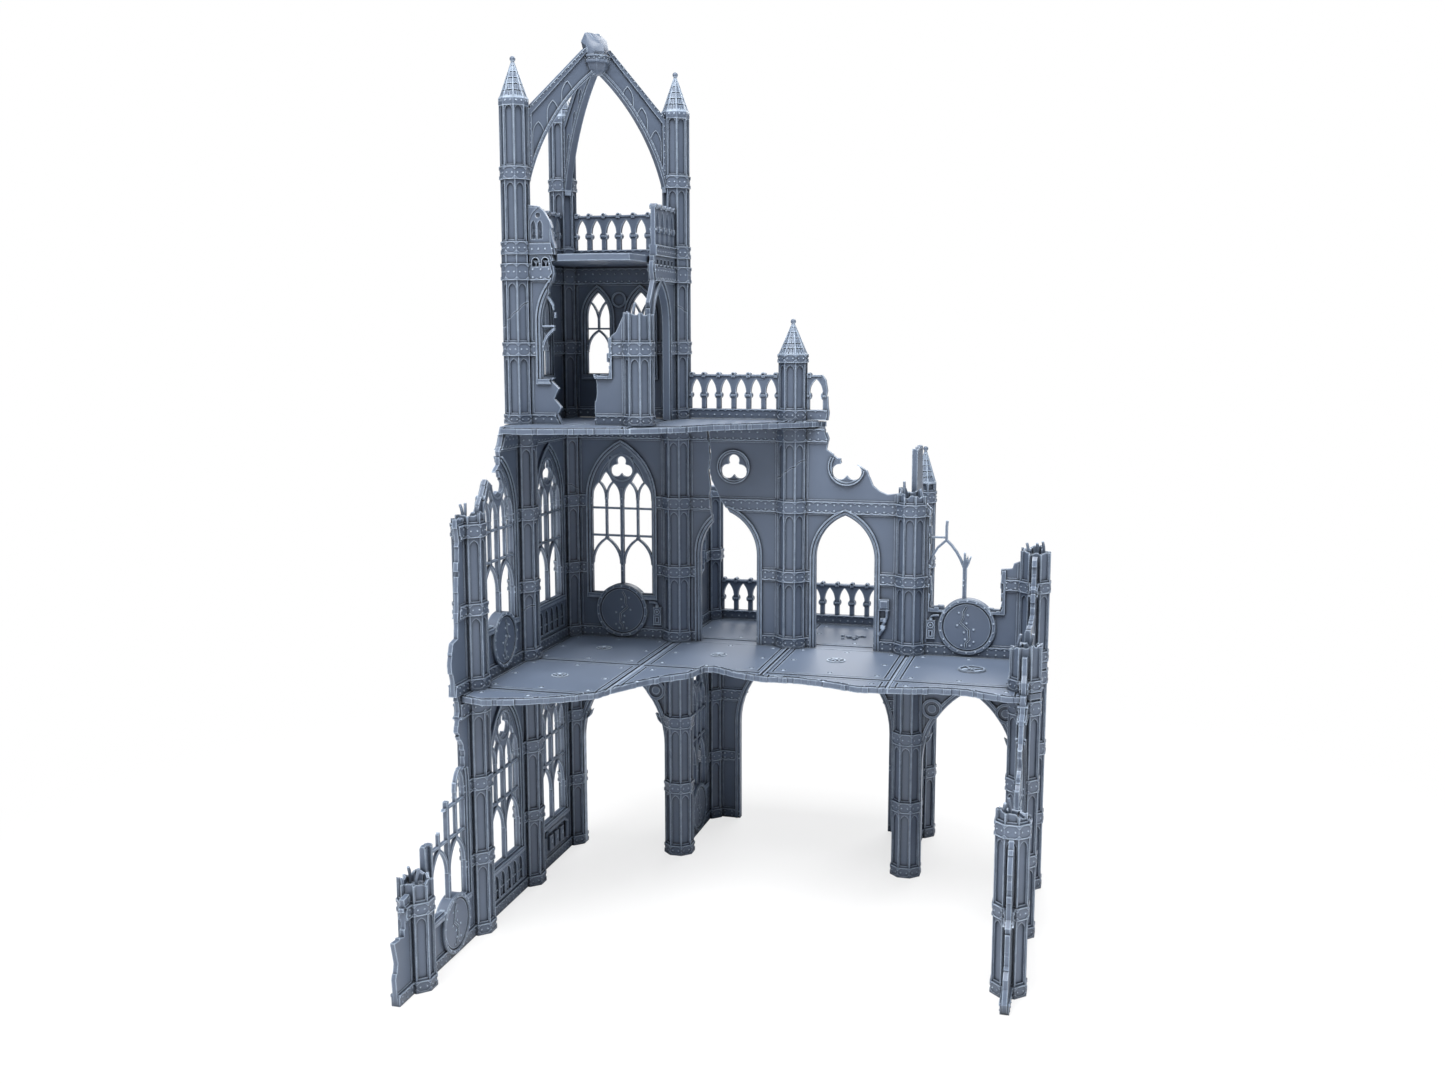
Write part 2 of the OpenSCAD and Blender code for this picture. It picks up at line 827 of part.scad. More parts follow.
module tower_right_wall() {
    left = pillar_edge / bay;
    top = tower_wall_h / bay;
    color(plastic) along_side(bay, 0, tower_z)
        wall_panel(bay * [
            [left, 0], [0.82, 0], [0.79, 0.3], [0.8, 0.62], [0.76, 0.8], [0.77, 0.95], [0.7, 1.05],
            [0.65, 1.13], [0.68, 1.22], [0.66, top], [left, top]
        ], tower_bands) {
            union() {
                translate([0.5 * bay, 0]) pointed(0.2 * bay, -1, 0.76 * bay, 1.1 * bay);
                for (slot = [0 : 4])
                    translate([(0.17 + 0.095 * slot) * bay, 1.232 * bay]) square([0.05 * bay, 0.058 * bay]);
            }
        }
}

module tower_pillars() {
    color(plastic) for (spot = [[0, -1], [0, 0], [1, 0]])
        translate([spot[0] * bay, spot[1] * bay, tower_z]) {
            difference() {
                column(tower_storey - seam, pillar_w, tower_bands);
                translate([0, 0, tower_storey - seam]) peg_hole(0, 0, peg_len + 1);
            }
            if (spot[0] == 0)
                peg();
        }
}

module tower_broken_pillar() {
    color(plastic) translate([bay, -bay, tower_z])
        snapped(0.87 * bay, 4, 3) column(tower_wall_h, pillar_w, tower_bands);
}

// Floor of the belfry, notched around the pillars that pass it
module tower_floor() {
    inner = (wall_t / 2 + proud + seam) / bay;
    color(plastic) difference() {
        translate([0, 0, crown_z - floor_t]) linear_extrude(floor_t - seam)
            polygon(bay * [
                [inner, -inner], [1 - inner, -inner], [1 - inner, -0.95], [0.94, -1.02], [0.75, -1.06],
                [0.5, -1.08], [0.36, -1.05], [0.345, inner - 1], [inner, inner - 1]
            ]);
        for (spot = [[0, -1], [0, 0], [1, 0]])
            translate([spot[0] * bay, spot[1] * bay, 2 * storey]) octagon_bar(pillar_w + 2 * seam, reach);
    }
}

// ---------- terrace beside the tower ----------

module terrace_rail() {
    run = bay - pillar_edge - edge;
    color(plastic) along_back(bay + pillar_edge, 0, tower_z) railing(run, 6);
}

module terrace_post() {
    color(plastic) translate([2 * bay, 0, tower_z]) {
        column(0.54 * bay, column_w * 0.96, [[0, 0.085], [0.47, 0.54]]);
        translate([0, 0, 0.54 * bay]) spire(column_w * 0.98, 0.26 * bay);
        peg();
    }
}

module terrace_broken_rail() {
    color(plastic) along_back(2 * bay + edge, 0, tower_z) {
        linear_extrude(tracery_t + 0.6, center = true) difference() {
            polygon(bay * [
                [0, 0], [0.19, 0], [0.18, 0.1], [0.15, 0.12], [0.16, 0.24], [0.15, 0.33],
                [0.1, 0.37], [0, 0.37]
            ]);
            translate([0.07 * bay, 0]) grown(0) pointed(0.045 * bay, 0.085 * bay, 0.24 * bay, 0.33 * bay);
        }
        linear_extrude(tracery_t + 2 * proud, center = true) square([0.18 * bay, 0.085 * bay]);
    }
}

// ---------- belfry crown ----------

module crown_pillar() {
    column(crown_collar, crown_w, crown_bands);
    translate([0, 0, crown_collar]) octagon_bar(crown_w + 1.2, 0.06 * bay);
    peg();
}

module crown_pillars() {
    color(plastic) for (spot = [[0, -1], [1, 0]])
        translate([spot[0] * bay, spot[1] * bay, crown_z]) {
            crown_pillar();
            translate([0, 0, crown_collar + 0.06 * bay]) spire(crown_w + 0.6, crown_spire_h);
        }
}

module crown_ruined_pillar() {
    color(plastic) translate([0, 0, crown_z]) {
        crown_pillar();
        translate([0, 0, crown_collar + 0.06 * bay])
            snapped(0.12 * bay, 14, -10) spire(crown_w + 0.6, crown_spire_h);
    }
}

// Flying rib from a pillar to the boss, u measured from the pillar's axis to the tower's axis
module rib() {
    near = crown_edge / bay;
    far = sqrt(0.5) - (boss_w / 2 + seam) / bay;
    linear_extrude(rib_t, center = true) difference() {
        polygon(bay * [
            [near, 0.45], [0.63, 1.3], [0.63, 1.43], [far, 1.5], [far, 1.137 + far - 0.125],
            [0.125, 1.137], [0.125, 1.12], [near, 1.12]
        ]);
        translate(bay * [1.715, 0.137]) circle(r = 1.656 * bay, $fn = 180);
    }
}

module crown_ribs() {
    color(plastic) {
        translate([0, -bay, crown_z]) rotate([90, 0, 45]) rib();
        translate([0, 0, crown_z]) rotate([90, 0, -45]) rib();
        translate([bay, 0, crown_z]) rotate([90, 0, -135]) rib();
    }
}

module crown_boss() {
    drum_z = 1.51 * bay;
    drum_h = 0.05 * bay;
    cup_r = 0.46 * boss_w;
    color(plastic) translate([bay / 2, -bay / 2, crown_z]) {
        intersection() {
            translate([0, 0, drum_z]) sphere(r = cup_r);
            translate([0, 0, drum_z - cup_r]) octagon_bar(0.85 * boss_w, cup_r);
        }
        translate([0, 0, drum_z]) octagon_bar(boss_w, drum_h);
        snapped(1.69 * bay, -24, -14)
            translate([0, 0, drum_z + drum_h]) octagon_bar(0.9 * boss_w, 0.25 * bay);
    }
}

module crown_back_rail() {
    color(plastic) along_back(crown_edge, 0, crown_z) railing(bay - 2 * crown_edge, 6);
}

module crown_left_rail() {
    color(plastic) along_side(0, -crown_edge, crown_z) railing(bay - 2 * crown_edge, 6);
}

// Corner of a shattered window frame beside the front pillar
module crown_front_window() {
    left = crown_edge / bay;
    color(plastic) along_back(0, -bay, crown_z) {
        linear_extrude(tracery_t + 0.6, center = true) difference() {
            polygon(bay * [
                [left, 0], [0.33, 0], [0.31, 0.12], [0.29, 0.25], [0.24, 0.33], [0.19, 0.37], [left, 0.38]
            ]);
            translate([0.18 * bay, 0]) grown(0) pointed(0.05 * bay, 0.12 * bay, 0.22 * bay, 0.31 * bay);
        }
        linear_extrude(tracery_t + 2 * proud, center = true)
            polygon(bay * [[left, 0], [0.33, 0], [0.31, 0.085], [left, 0.085]]);
    }
}

module crown_right_rail() {
    run = bay - 2 * crown_edge;
    color(plastic) along_side(bay, -crown_edge, crown_z) railing(run - 0.27 * bay, 4, rail_h + 0.015 * bay);
}

ground_left_bay_1();
ground_left_bay_2();
ground_left_bay_3();
ground_left_stub();
ground_back_arch_left();
ground_back_arch_right();
ground_right_bay_1();
ground_right_bay_2();
ground_right_stub();
porch_left_wall();
porch_right_wall();
porch_arch_wall();
ground_columns_left();
ground_columns_back();
ground_columns_right();
porch_posts();
ground_broken_column_left();
ground_broken_column_right();
floor_one_left();
floor_one_middle();
floor_one_right();
porch_roof();
balcony_rail();
balcony_corner_post();
balcony_broken_posts();
middle_left_bay_1();
middle_left_bay_2();
middle_left_stub();
middle_back_bay_1();
middle_back_bay_2();
middle_back_bay_3();
middle_back_bay_4();
middle_right_bay_1();
middle_columns();
middle_broken_column_left();
middle_broken_column_back();
middle_broken_column_corner();
middle_broken_column_right();
floor_two_left();
floor_two_right();
tower_front_left_wall();
tower_front_right_wall();
tower_left_wall();
tower_back_wall();
tower_right_wall();
tower_pillars();
tower_broken_pillar();
tower_floor();
terrace_rail();
terrace_post();
terrace_broken_rail();
crown_pillars();
crown_ruined_pillar();
crown_ribs();
crown_boss();
crown_back_rail();
crown_left_rail();
crown_front_window();
crown_right_rail();
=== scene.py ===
import json
import math
import random

import bpy
import numpy as np
from mathutils import Matrix, Vector
from mathutils.geometry import delaunay_2d_cdt


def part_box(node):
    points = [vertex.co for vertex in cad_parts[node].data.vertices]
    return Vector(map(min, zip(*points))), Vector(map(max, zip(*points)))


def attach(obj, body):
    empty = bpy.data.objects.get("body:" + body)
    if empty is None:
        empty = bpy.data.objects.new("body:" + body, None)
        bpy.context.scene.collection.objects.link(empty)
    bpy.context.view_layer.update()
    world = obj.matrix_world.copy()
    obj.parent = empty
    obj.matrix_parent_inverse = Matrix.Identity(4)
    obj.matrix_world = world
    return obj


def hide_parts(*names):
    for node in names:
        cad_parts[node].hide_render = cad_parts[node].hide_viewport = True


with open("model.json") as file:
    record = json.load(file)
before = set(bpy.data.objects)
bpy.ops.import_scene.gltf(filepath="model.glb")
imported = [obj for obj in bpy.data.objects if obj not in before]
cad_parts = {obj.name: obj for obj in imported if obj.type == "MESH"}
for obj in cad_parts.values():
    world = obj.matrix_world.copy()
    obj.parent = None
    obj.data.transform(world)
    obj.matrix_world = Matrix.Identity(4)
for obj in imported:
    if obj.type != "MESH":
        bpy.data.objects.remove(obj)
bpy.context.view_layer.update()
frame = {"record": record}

# ---------------------------------------------------------------- sizes, in millimetres, from the frame


def box_mm(node):
    low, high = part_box(node)
    return low * 1000, high * 1000


low, high = box_mm("ground_columns_back")
COLUMN = high.y - low.y
BAY = (high.x - low.x - COLUMN) / 2
low, high = box_mm("floor_one_left")
FLOOR_ONE = high.z
FLOOR_T = high.z - low.z
low, high = box_mm("middle_back_bay_1")
MIDDLE_Z = low.z
WALL_H = high.z - low.z
low, high = box_mm("floor_two_left")
FLOOR_TWO = high.z
low, high = box_mm("tower_back_wall")
TOWER_Z = low.z
TOWER_WALL_H = high.z - low.z
low, high = box_mm("tower_broken_pillar")
PILLAR = high.x - low.x
low, high = box_mm("tower_floor")
TOWER_FLOOR = high.z
CROWN_Z = box_mm("crown_back_rail")[0].z
PILLAR_H = CROWN_Z - TOWER_Z
CROWN = PILLAR * 0.957
EDGE = COLUMN / 2 + 0.1
PILLAR_EDGE = PILLAR / 2 + 0.1
CROWN_EDGE = CROWN / 2 + 0.1

# Half thicknesses of the wall layers
WALL = 1.5
FIELD = 1.15
BAND = 2.1
BAND_LIP = 2.45
FRAME_OUT = 2.55
FRAME_IN = 2.0
TRACERY = 0.95
MULLION = 1.25
DISC = 2.6
DISC_RING = 3.05

# Edges that turn by more than this stay sharp
SHARP = math.radians(32)

body_of = {}
for body_name, members in frame["record"]["behaviour"]["bodies"].items():
    for member in members:
        body_of[member] = body_name

# ---------------------------------------------------------------- flat outlines


def rect(u0, z0, u1, z1):
    return [(u0, z0), (u1, z0), (u1, z1), (u0, z1)]


def bays(points):
    return [(u * BAY, z * BAY) for u, z in points]


def circle(u, z, r, n=28, start=0.0):
    angles = [start + 2 * math.pi * i / n for i in range(n)]
    return [(u + r * math.cos(angle), z + r * math.sin(angle)) for angle in angles]


def pointed(u, half, sill, spring, apex, grow=0.0, n=9):
    """Pointed opening centred on u, grown all round."""
    rise = apex - spring
    radius = (half * half + rise * rise) / (2 * half)
    r = radius + grow
    centre = radius - half
    top = math.acos(max(-1.0, min(1.0, centre / r)))
    turns = [top * i / n for i in range(n + 1)]
    right = [(u - centre + r * math.cos(turn), spring + r * math.sin(turn)) for turn in turns]
    left = [(2 * u - x, z) for x, z in reversed(right[:-1])]
    return [(u - half - grow, sill - grow), (u + half + grow, sill - grow)] + right + left


def jagged(points, seed, step=1.5, rough=0.42):
    """A straight path broken into short steps that wander to both sides."""
    dice = random.Random(seed)
    out = [points[0]]
    for (x0, z0), (x1, z1) in zip(points[:-1], points[1:]):
        length = math.hypot(x1 - x0, z1 - z0)
        count = max(1, int(length / step))
        nx, nz = (z1 - z0) / max(length, 1e-6), (x0 - x1) / max(length, 1e-6)
        for i in range(1, count + 1):
            t = (i + dice.uniform(-0.3, 0.3)) / count if i < count else 1.0
            off = dice.uniform(-rough, rough) * (1.0 if i < count else 0.5)
            out.append((x0 + (x1 - x0) * t + nx * off, z0 + (z1 - z0) * t + nz * off))
    return out


def chipped(points, seed, step=2.6, rough=0.7):
    """A straight path broken into blocks: short runs with sharp steps between them."""
    dice = random.Random(seed)
    out = [points[0]]
    for (x0, z0), (x1, z1) in zip(points[:-1], points[1:]):
        length = math.hypot(x1 - x0, z1 - z0)
        count = max(1, int(length / step))
        tx, tz = (x1 - x0) / max(length, 1e-6), (z1 - z0) / max(length, 1e-6)
        nx, nz = tz, -tx
        off = 0.0
        for i in range(1, count):
            run = length * (i + dice.uniform(-0.3, 0.3)) / count
            fresh = dice.uniform(-rough, rough)
            slant = dice.uniform(0.05, 0.45)
            out.append((x0 + tx * run + nx * off, z0 + tz * run + nz * off))
            out.append((x0 + tx * (run + slant) + nx * fresh, z0 + tz * (run + slant) + nz * fresh))
            off = fresh
        out.append((x1, z1))
    return out


def shrink(points, amount):
    """The same path moved to its left by amount."""
    out = []
    for i, (x, z) in enumerate(points):
        x0, z0 = points[max(i - 1, 0)]
        x1, z1 = points[min(i + 1, len(points) - 1)]
        length = max(math.hypot(x1 - x0, z1 - z0), 1e-6)
        out.append((x - (z1 - z0) / length * amount, z + (x1 - x0) / length * amount))
    return out


def ribbon(points, width):
    """Outline of a bar of even width along a path."""
    return shrink(points, width / 2) + shrink(points, -width / 2)[::-1]


def arch_line(u, half, spring, apex, n=9):
    """Path up one side of a pointed arch and down the other."""
    return pointed(u, half, spring, spring, apex, 0, n)[2:]


# ---------------------------------------------------------------- sheets: layered flat castings


def inside(loop, points):
    """Even-odd test of many points against one loop."""
    loop = np.asarray(loop)
    found = np.zeros(len(points), bool)
    near = np.nonzero((points[:, 0] > loop[:, 0].min()) & (points[:, 0] < loop[:, 0].max())
                      & (points[:, 1] > loop[:, 1].min()) & (points[:, 1] < loop[:, 1].max()))[0]
    if len(near) == 0:
        return found
    px, pz = points[near, 0][:, None], points[near, 1][:, None]
    x0, z0 = loop[:, 0], loop[:, 1]
    x1, z1 = np.roll(x0, -1), np.roll(z0, -1)
    crosses = (z0 > pz) != (z1 > pz)
    with np.errstate(divide="ignore", invalid="ignore"):
        at = x0 + (pz - z0) * (x1 - x0) / (z1 - z0)
    found[near] = (np.sum(crosses & (px < at), axis=1) % 2).astype(bool)
    return found


class Sheet:
    """A drawing in (u, z) whose regions are painted with heights, one after another."""

    def __init__(self, outline, height):
        self.steps = [("add", outline, height)]
        self.studs = []

    def paint(self, loop, height):
        self.steps.append(("paint", loop, height))

    def add(self, loop, height):
        self.steps.append(("add", loop, height))

    def fill(self, loop, height):
        """Closes whatever is open inside the loop."""
        self.steps.append(("fill", loop, height))

    def cut(self, loop):
        self.steps.append(("cut", loop, 0.0))

    def keep(self, loop):
        self.steps.append(("keep", loop, 0.0))

    def thin_outside(self, loop, height):
        self.steps.append(("thin", loop, height))

    def stud(self, u, z, r=0.62, h=0.42):
        self.studs.append((u, z, r, h))

    def heights_at(self, points):
        level = np.zeros(len(points))
        for kind, loop, value in self.steps:
            mask = inside(loop, points)
            if kind == "add":
                level[mask] = value
            elif kind == "paint":
                level[mask & (level > 0)] = value
            elif kind == "fill":
                level[mask & (level == 0)] = value
            elif kind == "cut":
                level[mask] = 0
            elif kind == "keep":
                level[~mask] = 0
            elif kind == "thin":
                level[~mask] = np.minimum(level[~mask], value)
        return level

    def triangles(self):
        """Vertices, triangles and their heights, cut along every outline."""
        verts, edges = [], []
        for _, loop, _ in self.steps:
            first = len(verts)
            n = len(loop)
            verts.extend(Vector((round(u, 3), round(z, 3))) for u, z in loop)
            edges.extend((first + i, first + (i + 1) % n) for i in range(n))
        out = delaunay_2d_cdt(verts, edges, [], 0, 1e-4)
        co = np.array([(v.x, v.y) for v in out[0]])
        tris = np.array([f for f in out[2] if len(f) == 3])
        level = np.round(self.heights_at(co[tris].mean(axis=1)), 3)
        a, b, c = co[tris[:, 0]], co[tris[:, 1]], co[tris[:, 2]]
        area = (b[:, 0] - a[:, 0]) * (c[:, 1] - a[:, 1]) - (b[:, 1] - a[:, 1]) * (c[:, 0] - a[:, 0])
        tris[area < 0] = tris[area < 0][:, ::-1]
        solid = level > 0
        return co, tris[solid], level[solid]


class Casting:
    """Collects the faces of one cast piece."""

    def __init__(self):
        self.verts = []
        self.faces = []

    def sheet(self, sheet, place, double=True, floor=None, studded=True):
        """Steps a sheet up between its heights. double mirrors the relief to the back face;
        otherwise the back is flat at floor, or left open when floor is None."""
        co, tris, level = sheet.triangles()
        owner = {}
        at_vertex = {}
        for t, (tri, top) in enumerate(zip(tris, level)):
            for i in range(3):
                a, b = int(tri[i]), int(tri[(i + 1) % 3])
                owner[(a, b)] = t
                heights = at_vertex.setdefault(a, set())
                heights.add(top)
                heights.add(-top if double else (floor if floor is not None else top))
        index = {}

        def point(v, z):
            key = (v, z)
            if key not in index:
                index[key] = len(self.verts)
                self.verts.append(place(co[v][0], co[v][1], z))
            return index[key]

        def wall(a, b, z0, z1):
            between_b = sorted(z for z in at_vertex[b] if z0 < z < z1)
            between_a = sorted((z for z in at_vertex[a] if z0 < z < z1), reverse=True)
            ring = [point(a, z0), point(b, z0)] + [point(b, z) for z in between_b]
            ring += [point(b, z1), point(a, z1)] + [point(a, z) for z in between_a]
            self.faces.append(ring)

        for t, (tri, top) in enumerate(zip(tris, level)):
            a, b, c = (int(v) for v in tri)
            self.faces.append([point(a, top), point(b, top), point(c, top)])
            bottom = -top if double else floor
            if bottom is not None:
                self.faces.append([point(c, bottom), point(b, bottom), point(a, bottom)])
            for p, q in ((a, b), (b, c), (c, a)):
                other = owner.get((q, p))
                if other is None:
                    if bottom is not None:
                        wall(p, q, bottom, top)
                    continue
                if level[other] < top:
                    wall(p, q, level[other], top)
                    if double:
                        wall(p, q, -top, -level[other])
        if studded:
            self.studs(sheet, place, double)

    def studs(self, sheet, place, double=True):
        """Rivet heads of a sheet, each standing on whatever height lies under it."""
        if not sheet.studs:
            return
        spots = np.array([(u, z) for u, z, _, _ in sheet.studs])
        for (u, z, r, h), top in zip(sheet.studs, sheet.heights_at(spots)):
            if top > 0:
                self.dome(u, z, top, r, h, place)
                if double:
                    self.dome(u, z, -top, r, -h, place)

    def dome(self, u, z, base, r, h, place, n=8):
        """A rivet head or knob on a face at height base."""
        first = len(self.verts)
        for ring_r, lift in ((r, -0.3 * h), (r, 0.35 * h), (0.72 * r, 0.8 * h)):
            for i in range(n):
                angle = 2 * math.pi * i / n
                rim_u, rim_z = u + ring_r * math.cos(angle), z + ring_r * math.sin(angle)
                self.verts.append(place(rim_u, rim_z, base + lift))
        self.verts.append(place(u, z, base + h))
        top = first + 3 * n
        flip = h < 0
        rings = []
        for k in (first, first + n):
            for i in range(n):
                j = (i + 1) % n
                rings.append([k + i, k + j, k + n + j, k + n + i])
        for i in range(n):
            rings.append([first + 2 * n + i, first + 2 * n + (i + 1) % n, top])
        rings.append([first + i for i in reversed(range(n))])
        self.faces.extend([list(reversed(f)) for f in rings] if flip else rings)

    def tube(self, path, radius, n=8):
        """A round bar along a path of 3-D points."""
        path = [Vector(p) for p in path]
        first = len(self.verts)
        for i, p in enumerate(path):
            ahead = (path[min(i + 1, len(path) - 1)] - path[max(i - 1, 0)]).normalized()
            side = ahead.cross(Vector((0.31, 0.83, 0.46))).normalized()
            up = ahead.cross(side)
            r = radius[i] if isinstance(radius, list) else radius
            for k in range(n):
                angle = 2 * math.pi * k / n
                self.verts.append(p + side * (r * math.cos(angle)) + up * (r * math.sin(angle)))
        for i in range(len(path) - 1):
            for k in range(n):
                a, b = first + i * n + k, first + i * n + (k + 1) % n
                self.faces.append([a, b, b + n, a + n])
        self.faces.append([first + k for k in reversed(range(n))])
        last = first + (len(path) - 1) * n
        self.faces.append([last + k for k in range(n)])

    def hull_ring(self, rings):
        """Joins rings of equal length into a closed skin, lowest ring first."""
        first = len(self.verts)
        n = len(rings[0])
        for ring in rings:
            self.verts.extend(Vector(p) for p in ring)
        last = first + (len(rings) - 1) * n
        for k in range(first, last, n):
            for i in range(n):
                j = (i + 1) % n
                self.faces.append([k + i, k + j, k + n + j, k + n + i])
        self.faces.append([first + i for i in reversed(range(n))])
        self.faces.append([last + i for i in range(n)])

    def block(self, place, u0, z0, u1, z1, d0, d1, bevel=0.2):
        """A small box with bevelled front edges, in a wall's own coordinates."""
        b = min(bevel, (u1 - u0) / 3, (z1 - z0) / 3)
        rings = [
            [place(u, z, d0) for u, z in rect(u0, z0, u1, z1)],
            [place(u, z, d1 - b) for u, z in rect(u0, z0, u1, z1)],
            [place(u, z, d1) for u, z in rect(u0 + b, z0 + b, u1 - b, z1 - b)],
        ]
        self.hull_ring(rings)

    def weld_and_close(self, first_vert, first_face, cap):
        """Joins the sheets added since the given counts and closes their open ends with cap(loop)."""
        same, swap = {}, {}
        for i in range(first_vert, len(self.verts)):
            key = tuple(round(c, 2) for c in self.verts[i])
            swap[i] = same.setdefault(key, i)
        edges = {}
        for f in range(first_face, len(self.faces)):
            face = [swap[i] for i in self.faces[f]]
            face = [v for k, v in enumerate(face) if v != face[k - 1]]
            self.faces[f] = face
            for k in range(len(face)):
                edges[(face[k - 1], face[k])] = f
        self.faces[first_face:] = [f for f in self.faces[first_face:] if len(f) > 2]
        after = {b: a for a, b in edges if (b, a) not in edges}
        while after:
            start, node = after.popitem()
            loop = [start, node]
            while node in after:
                node = after.pop(node)
                if node == start:
                    break
                loop.append(node)
            if len(loop) > 2:
                cap(loop)

    def finish(self, node):
        """Turns the collected faces into the visible piece that stands for a CAD node."""
        mesh = bpy.data.meshes.new("cast_" + node)
        mesh.from_pydata([Vector(v) * 0.001 for v in self.verts], [], self.faces)
        mesh.validate()
        mesh.polygons.foreach_set("use_smooth", [True] * len(mesh.polygons))
        mesh.set_sharp_from_angle(angle=SHARP)
        piece = bpy.data.objects.new("cast_" + node, mesh)
        bpy.context.scene.collection.objects.link(piece)
        piece.data.materials.append(STYRENE)
        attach(piece, body_of[node])
        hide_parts(node)


# ---------------------------------------------------------------- placing walls


def along_back(x, y, z=0.0):
    return lambda u, v, d: Vector((x + u, y - d, z + v))


def along_side(x, y, z=0.0):
    return lambda u, v, d: Vector((x - d, y - u, z + v))


def along_porch(x, y, z=0.0):
    return lambda u, v, d: Vector((x + d, y + u, z + v))


# ---------------------------------------------------------------- material

PLASTIC_DARK = (0.112, 0.146, 0.210, 1)
PLASTIC_LIGHT = (0.135, 0.174, 0.247, 1)
# colour of the painted highlight on raised edges
EDGE_HIGHLIGHT = (0.46, 0.56, 0.70, 1)
# how far the painted edge highlight and the painted recess shade reach
EDGE_REACH = 0.0006
RECESS_REACH = 0.009
CREVICE_REACH = 0.0016
CORNER_RADIUS = 0.0003
GRAIN = 0.0001


def styrene_material():
    """Bare blue-grey polystyrene: satin, with a painted highlight along raised edges and painted shade in
    recesses.
    """
    material = bpy.data.materials.new("grey_styrene")
    material.use_nodes = True
    nodes, links = material.node_tree.nodes, material.node_tree.links
    nodes.clear()

    def node(kind, **values):
        made = nodes.new(kind)
        for key, value in values.items():
            if hasattr(made, key):
                setattr(made, key, value)
            else:
                made.inputs[key.replace("_", " ")].default_value = value
        return made

    def ranged(source, low, high, to_low, to_high):
        """The source value moved from one range to another."""
        made = node("ShaderNodeMapRange", From_Min=low, From_Max=high, To_Min=to_low, To_Max=to_high)
        links.new(source, made.inputs["Value"])
        return made.outputs["Result"]

    out = node("ShaderNodeOutputMaterial")
    shader = node("ShaderNodeBsdfPrincipled")
    links.new(shader.outputs["BSDF"], out.inputs["Surface"])
    place = node("ShaderNodeTexCoord")

    def noise(scale, detail):
        made = node("ShaderNodeTexNoise", Scale=scale, Detail=detail)
        links.new(place.outputs["Object"], made.inputs["Vector"])
        return made.outputs["Fac"]

    mottle = noise(38.0, 4.0)
    tone = node("ShaderNodeValToRGB")
    tone.color_ramp.elements[0].position = 0.3
    tone.color_ramp.elements[0].color = PLASTIC_DARK
    tone.color_ramp.elements[1].position = 0.75
    tone.color_ramp.elements[1].color = PLASTIC_LIGHT
    links.new(mottle, tone.inputs["Fac"])

    # Painted highlight on raised edges: seen from inside the plastic, another face is close by
    edge = node("ShaderNodeAmbientOcclusion", samples=4, inside=True, Distance=EDGE_REACH)
    # random patches that vary how strong the painted edge highlight is
    highlight_patches = ranged(noise(260.0, 2.0), 0.3, 0.6, 0.55, 1.0)
    lit_edge = node("ShaderNodeMath", operation="MULTIPLY")
    links.new(ranged(edge.outputs["AO"], 0.92, 0.55, 0.0, 1.0), lit_edge.inputs[0])
    links.new(highlight_patches, lit_edge.inputs[1])

    # Painted shade in recesses: dark where the surroundings close in
    recess = node("ShaderNodeAmbientOcclusion", samples=4, Distance=RECESS_REACH)
    crevice = node("ShaderNodeAmbientOcclusion", samples=4, Distance=CREVICE_REACH)
    hollow = node("ShaderNodeMath", operation="MULTIPLY")
    links.new(ranged(recess.outputs["AO"], 0.15, 0.9, 0.22, 1.0), hollow.inputs[0])
    links.new(ranged(crevice.outputs["AO"], 0.45, 0.85, 0.30, 1.0), hollow.inputs[1])

    # the painted edge highlight laid over the plastic tone
    pale = node("ShaderNodeMix", data_type="RGBA")
    pale.inputs["B"].default_value = EDGE_HIGHLIGHT
    links.new(lit_edge.outputs["Value"], pale.inputs["Factor"])
    links.new(tone.outputs["Color"], pale.inputs["A"])
    # the painted recess shade multiplied over the colour
    shade = node("ShaderNodeMix", data_type="RGBA", blend_type="MULTIPLY")
    shade.inputs["Factor"].default_value = 1.0
    links.new(pale.outputs["Result"], shade.inputs["A"])
    links.new(hollow.outputs["Value"], shade.inputs["B"])
    links.new(shade.outputs["Result"], shader.inputs["Base Color"])

    # Soft moulded corners and a fine grain for the satin surface
    rounded = node("ShaderNodeBevel", samples=4, Radius=CORNER_RADIUS)
    bump = node("ShaderNodeBump", Strength=0.12, Distance=GRAIN)
    links.new(noise(1400.0, 3.0), bump.inputs["Height"])
    links.new(rounded.outputs["Normal"], bump.inputs["Normal"])
    links.new(bump.outputs["Normal"], shader.inputs["Normal"])
    links.new(ranged(mottle, 0.0, 1.0, 0.38, 0.52), shader.inputs["Roughness"])
    shader.inputs["Specular IOR Level"].default_value = 0.5
    return material


STYRENE = styrene_material()

# ---------------------------------------------------------------- wall drawings

# Where a wall starts, ends and stops between two columns, in bays
START = EDGE / BAY
END = 1 - START
TOP = WALL_H / BAY
FULL = FLOOR_ONE / BAY

BANDS = [(0, 0.085), (0.56, 0.65), (1.14, 1.24), (1.73, 1.84)]
TOWER_BANDS = [(0, 0.075), (0.535, 0.64), (1.12, 1.25)]
CROWN_BANDS = [(0, 0.1), (0.57, 0.67)]
BAND_EDGE = 0.55
SCALLOP = 1.3
MIN_FIELD = 6


def bay_rect(u0, z0, u1, z1):
    return bays(rect(u0, z0, u1, z1))


def mirrored(points, axis):
    """Closes a half outline that starts and ends on an upright axis."""
    return points + [(2 * axis - u, z) for u, z in reversed(points[1:-1])]


def clear_heights(bands, top):
    """The stretches between bands, and up to top, with room for relief."""
    edges = [(low * BAY, high * BAY) for low, high in bands] + [(top, top)]
    return [(z0, z1) for (_, z0), (z1, _) in zip(edges[:-1], edges[1:]) if z1 - z0 > MIN_FIELD]


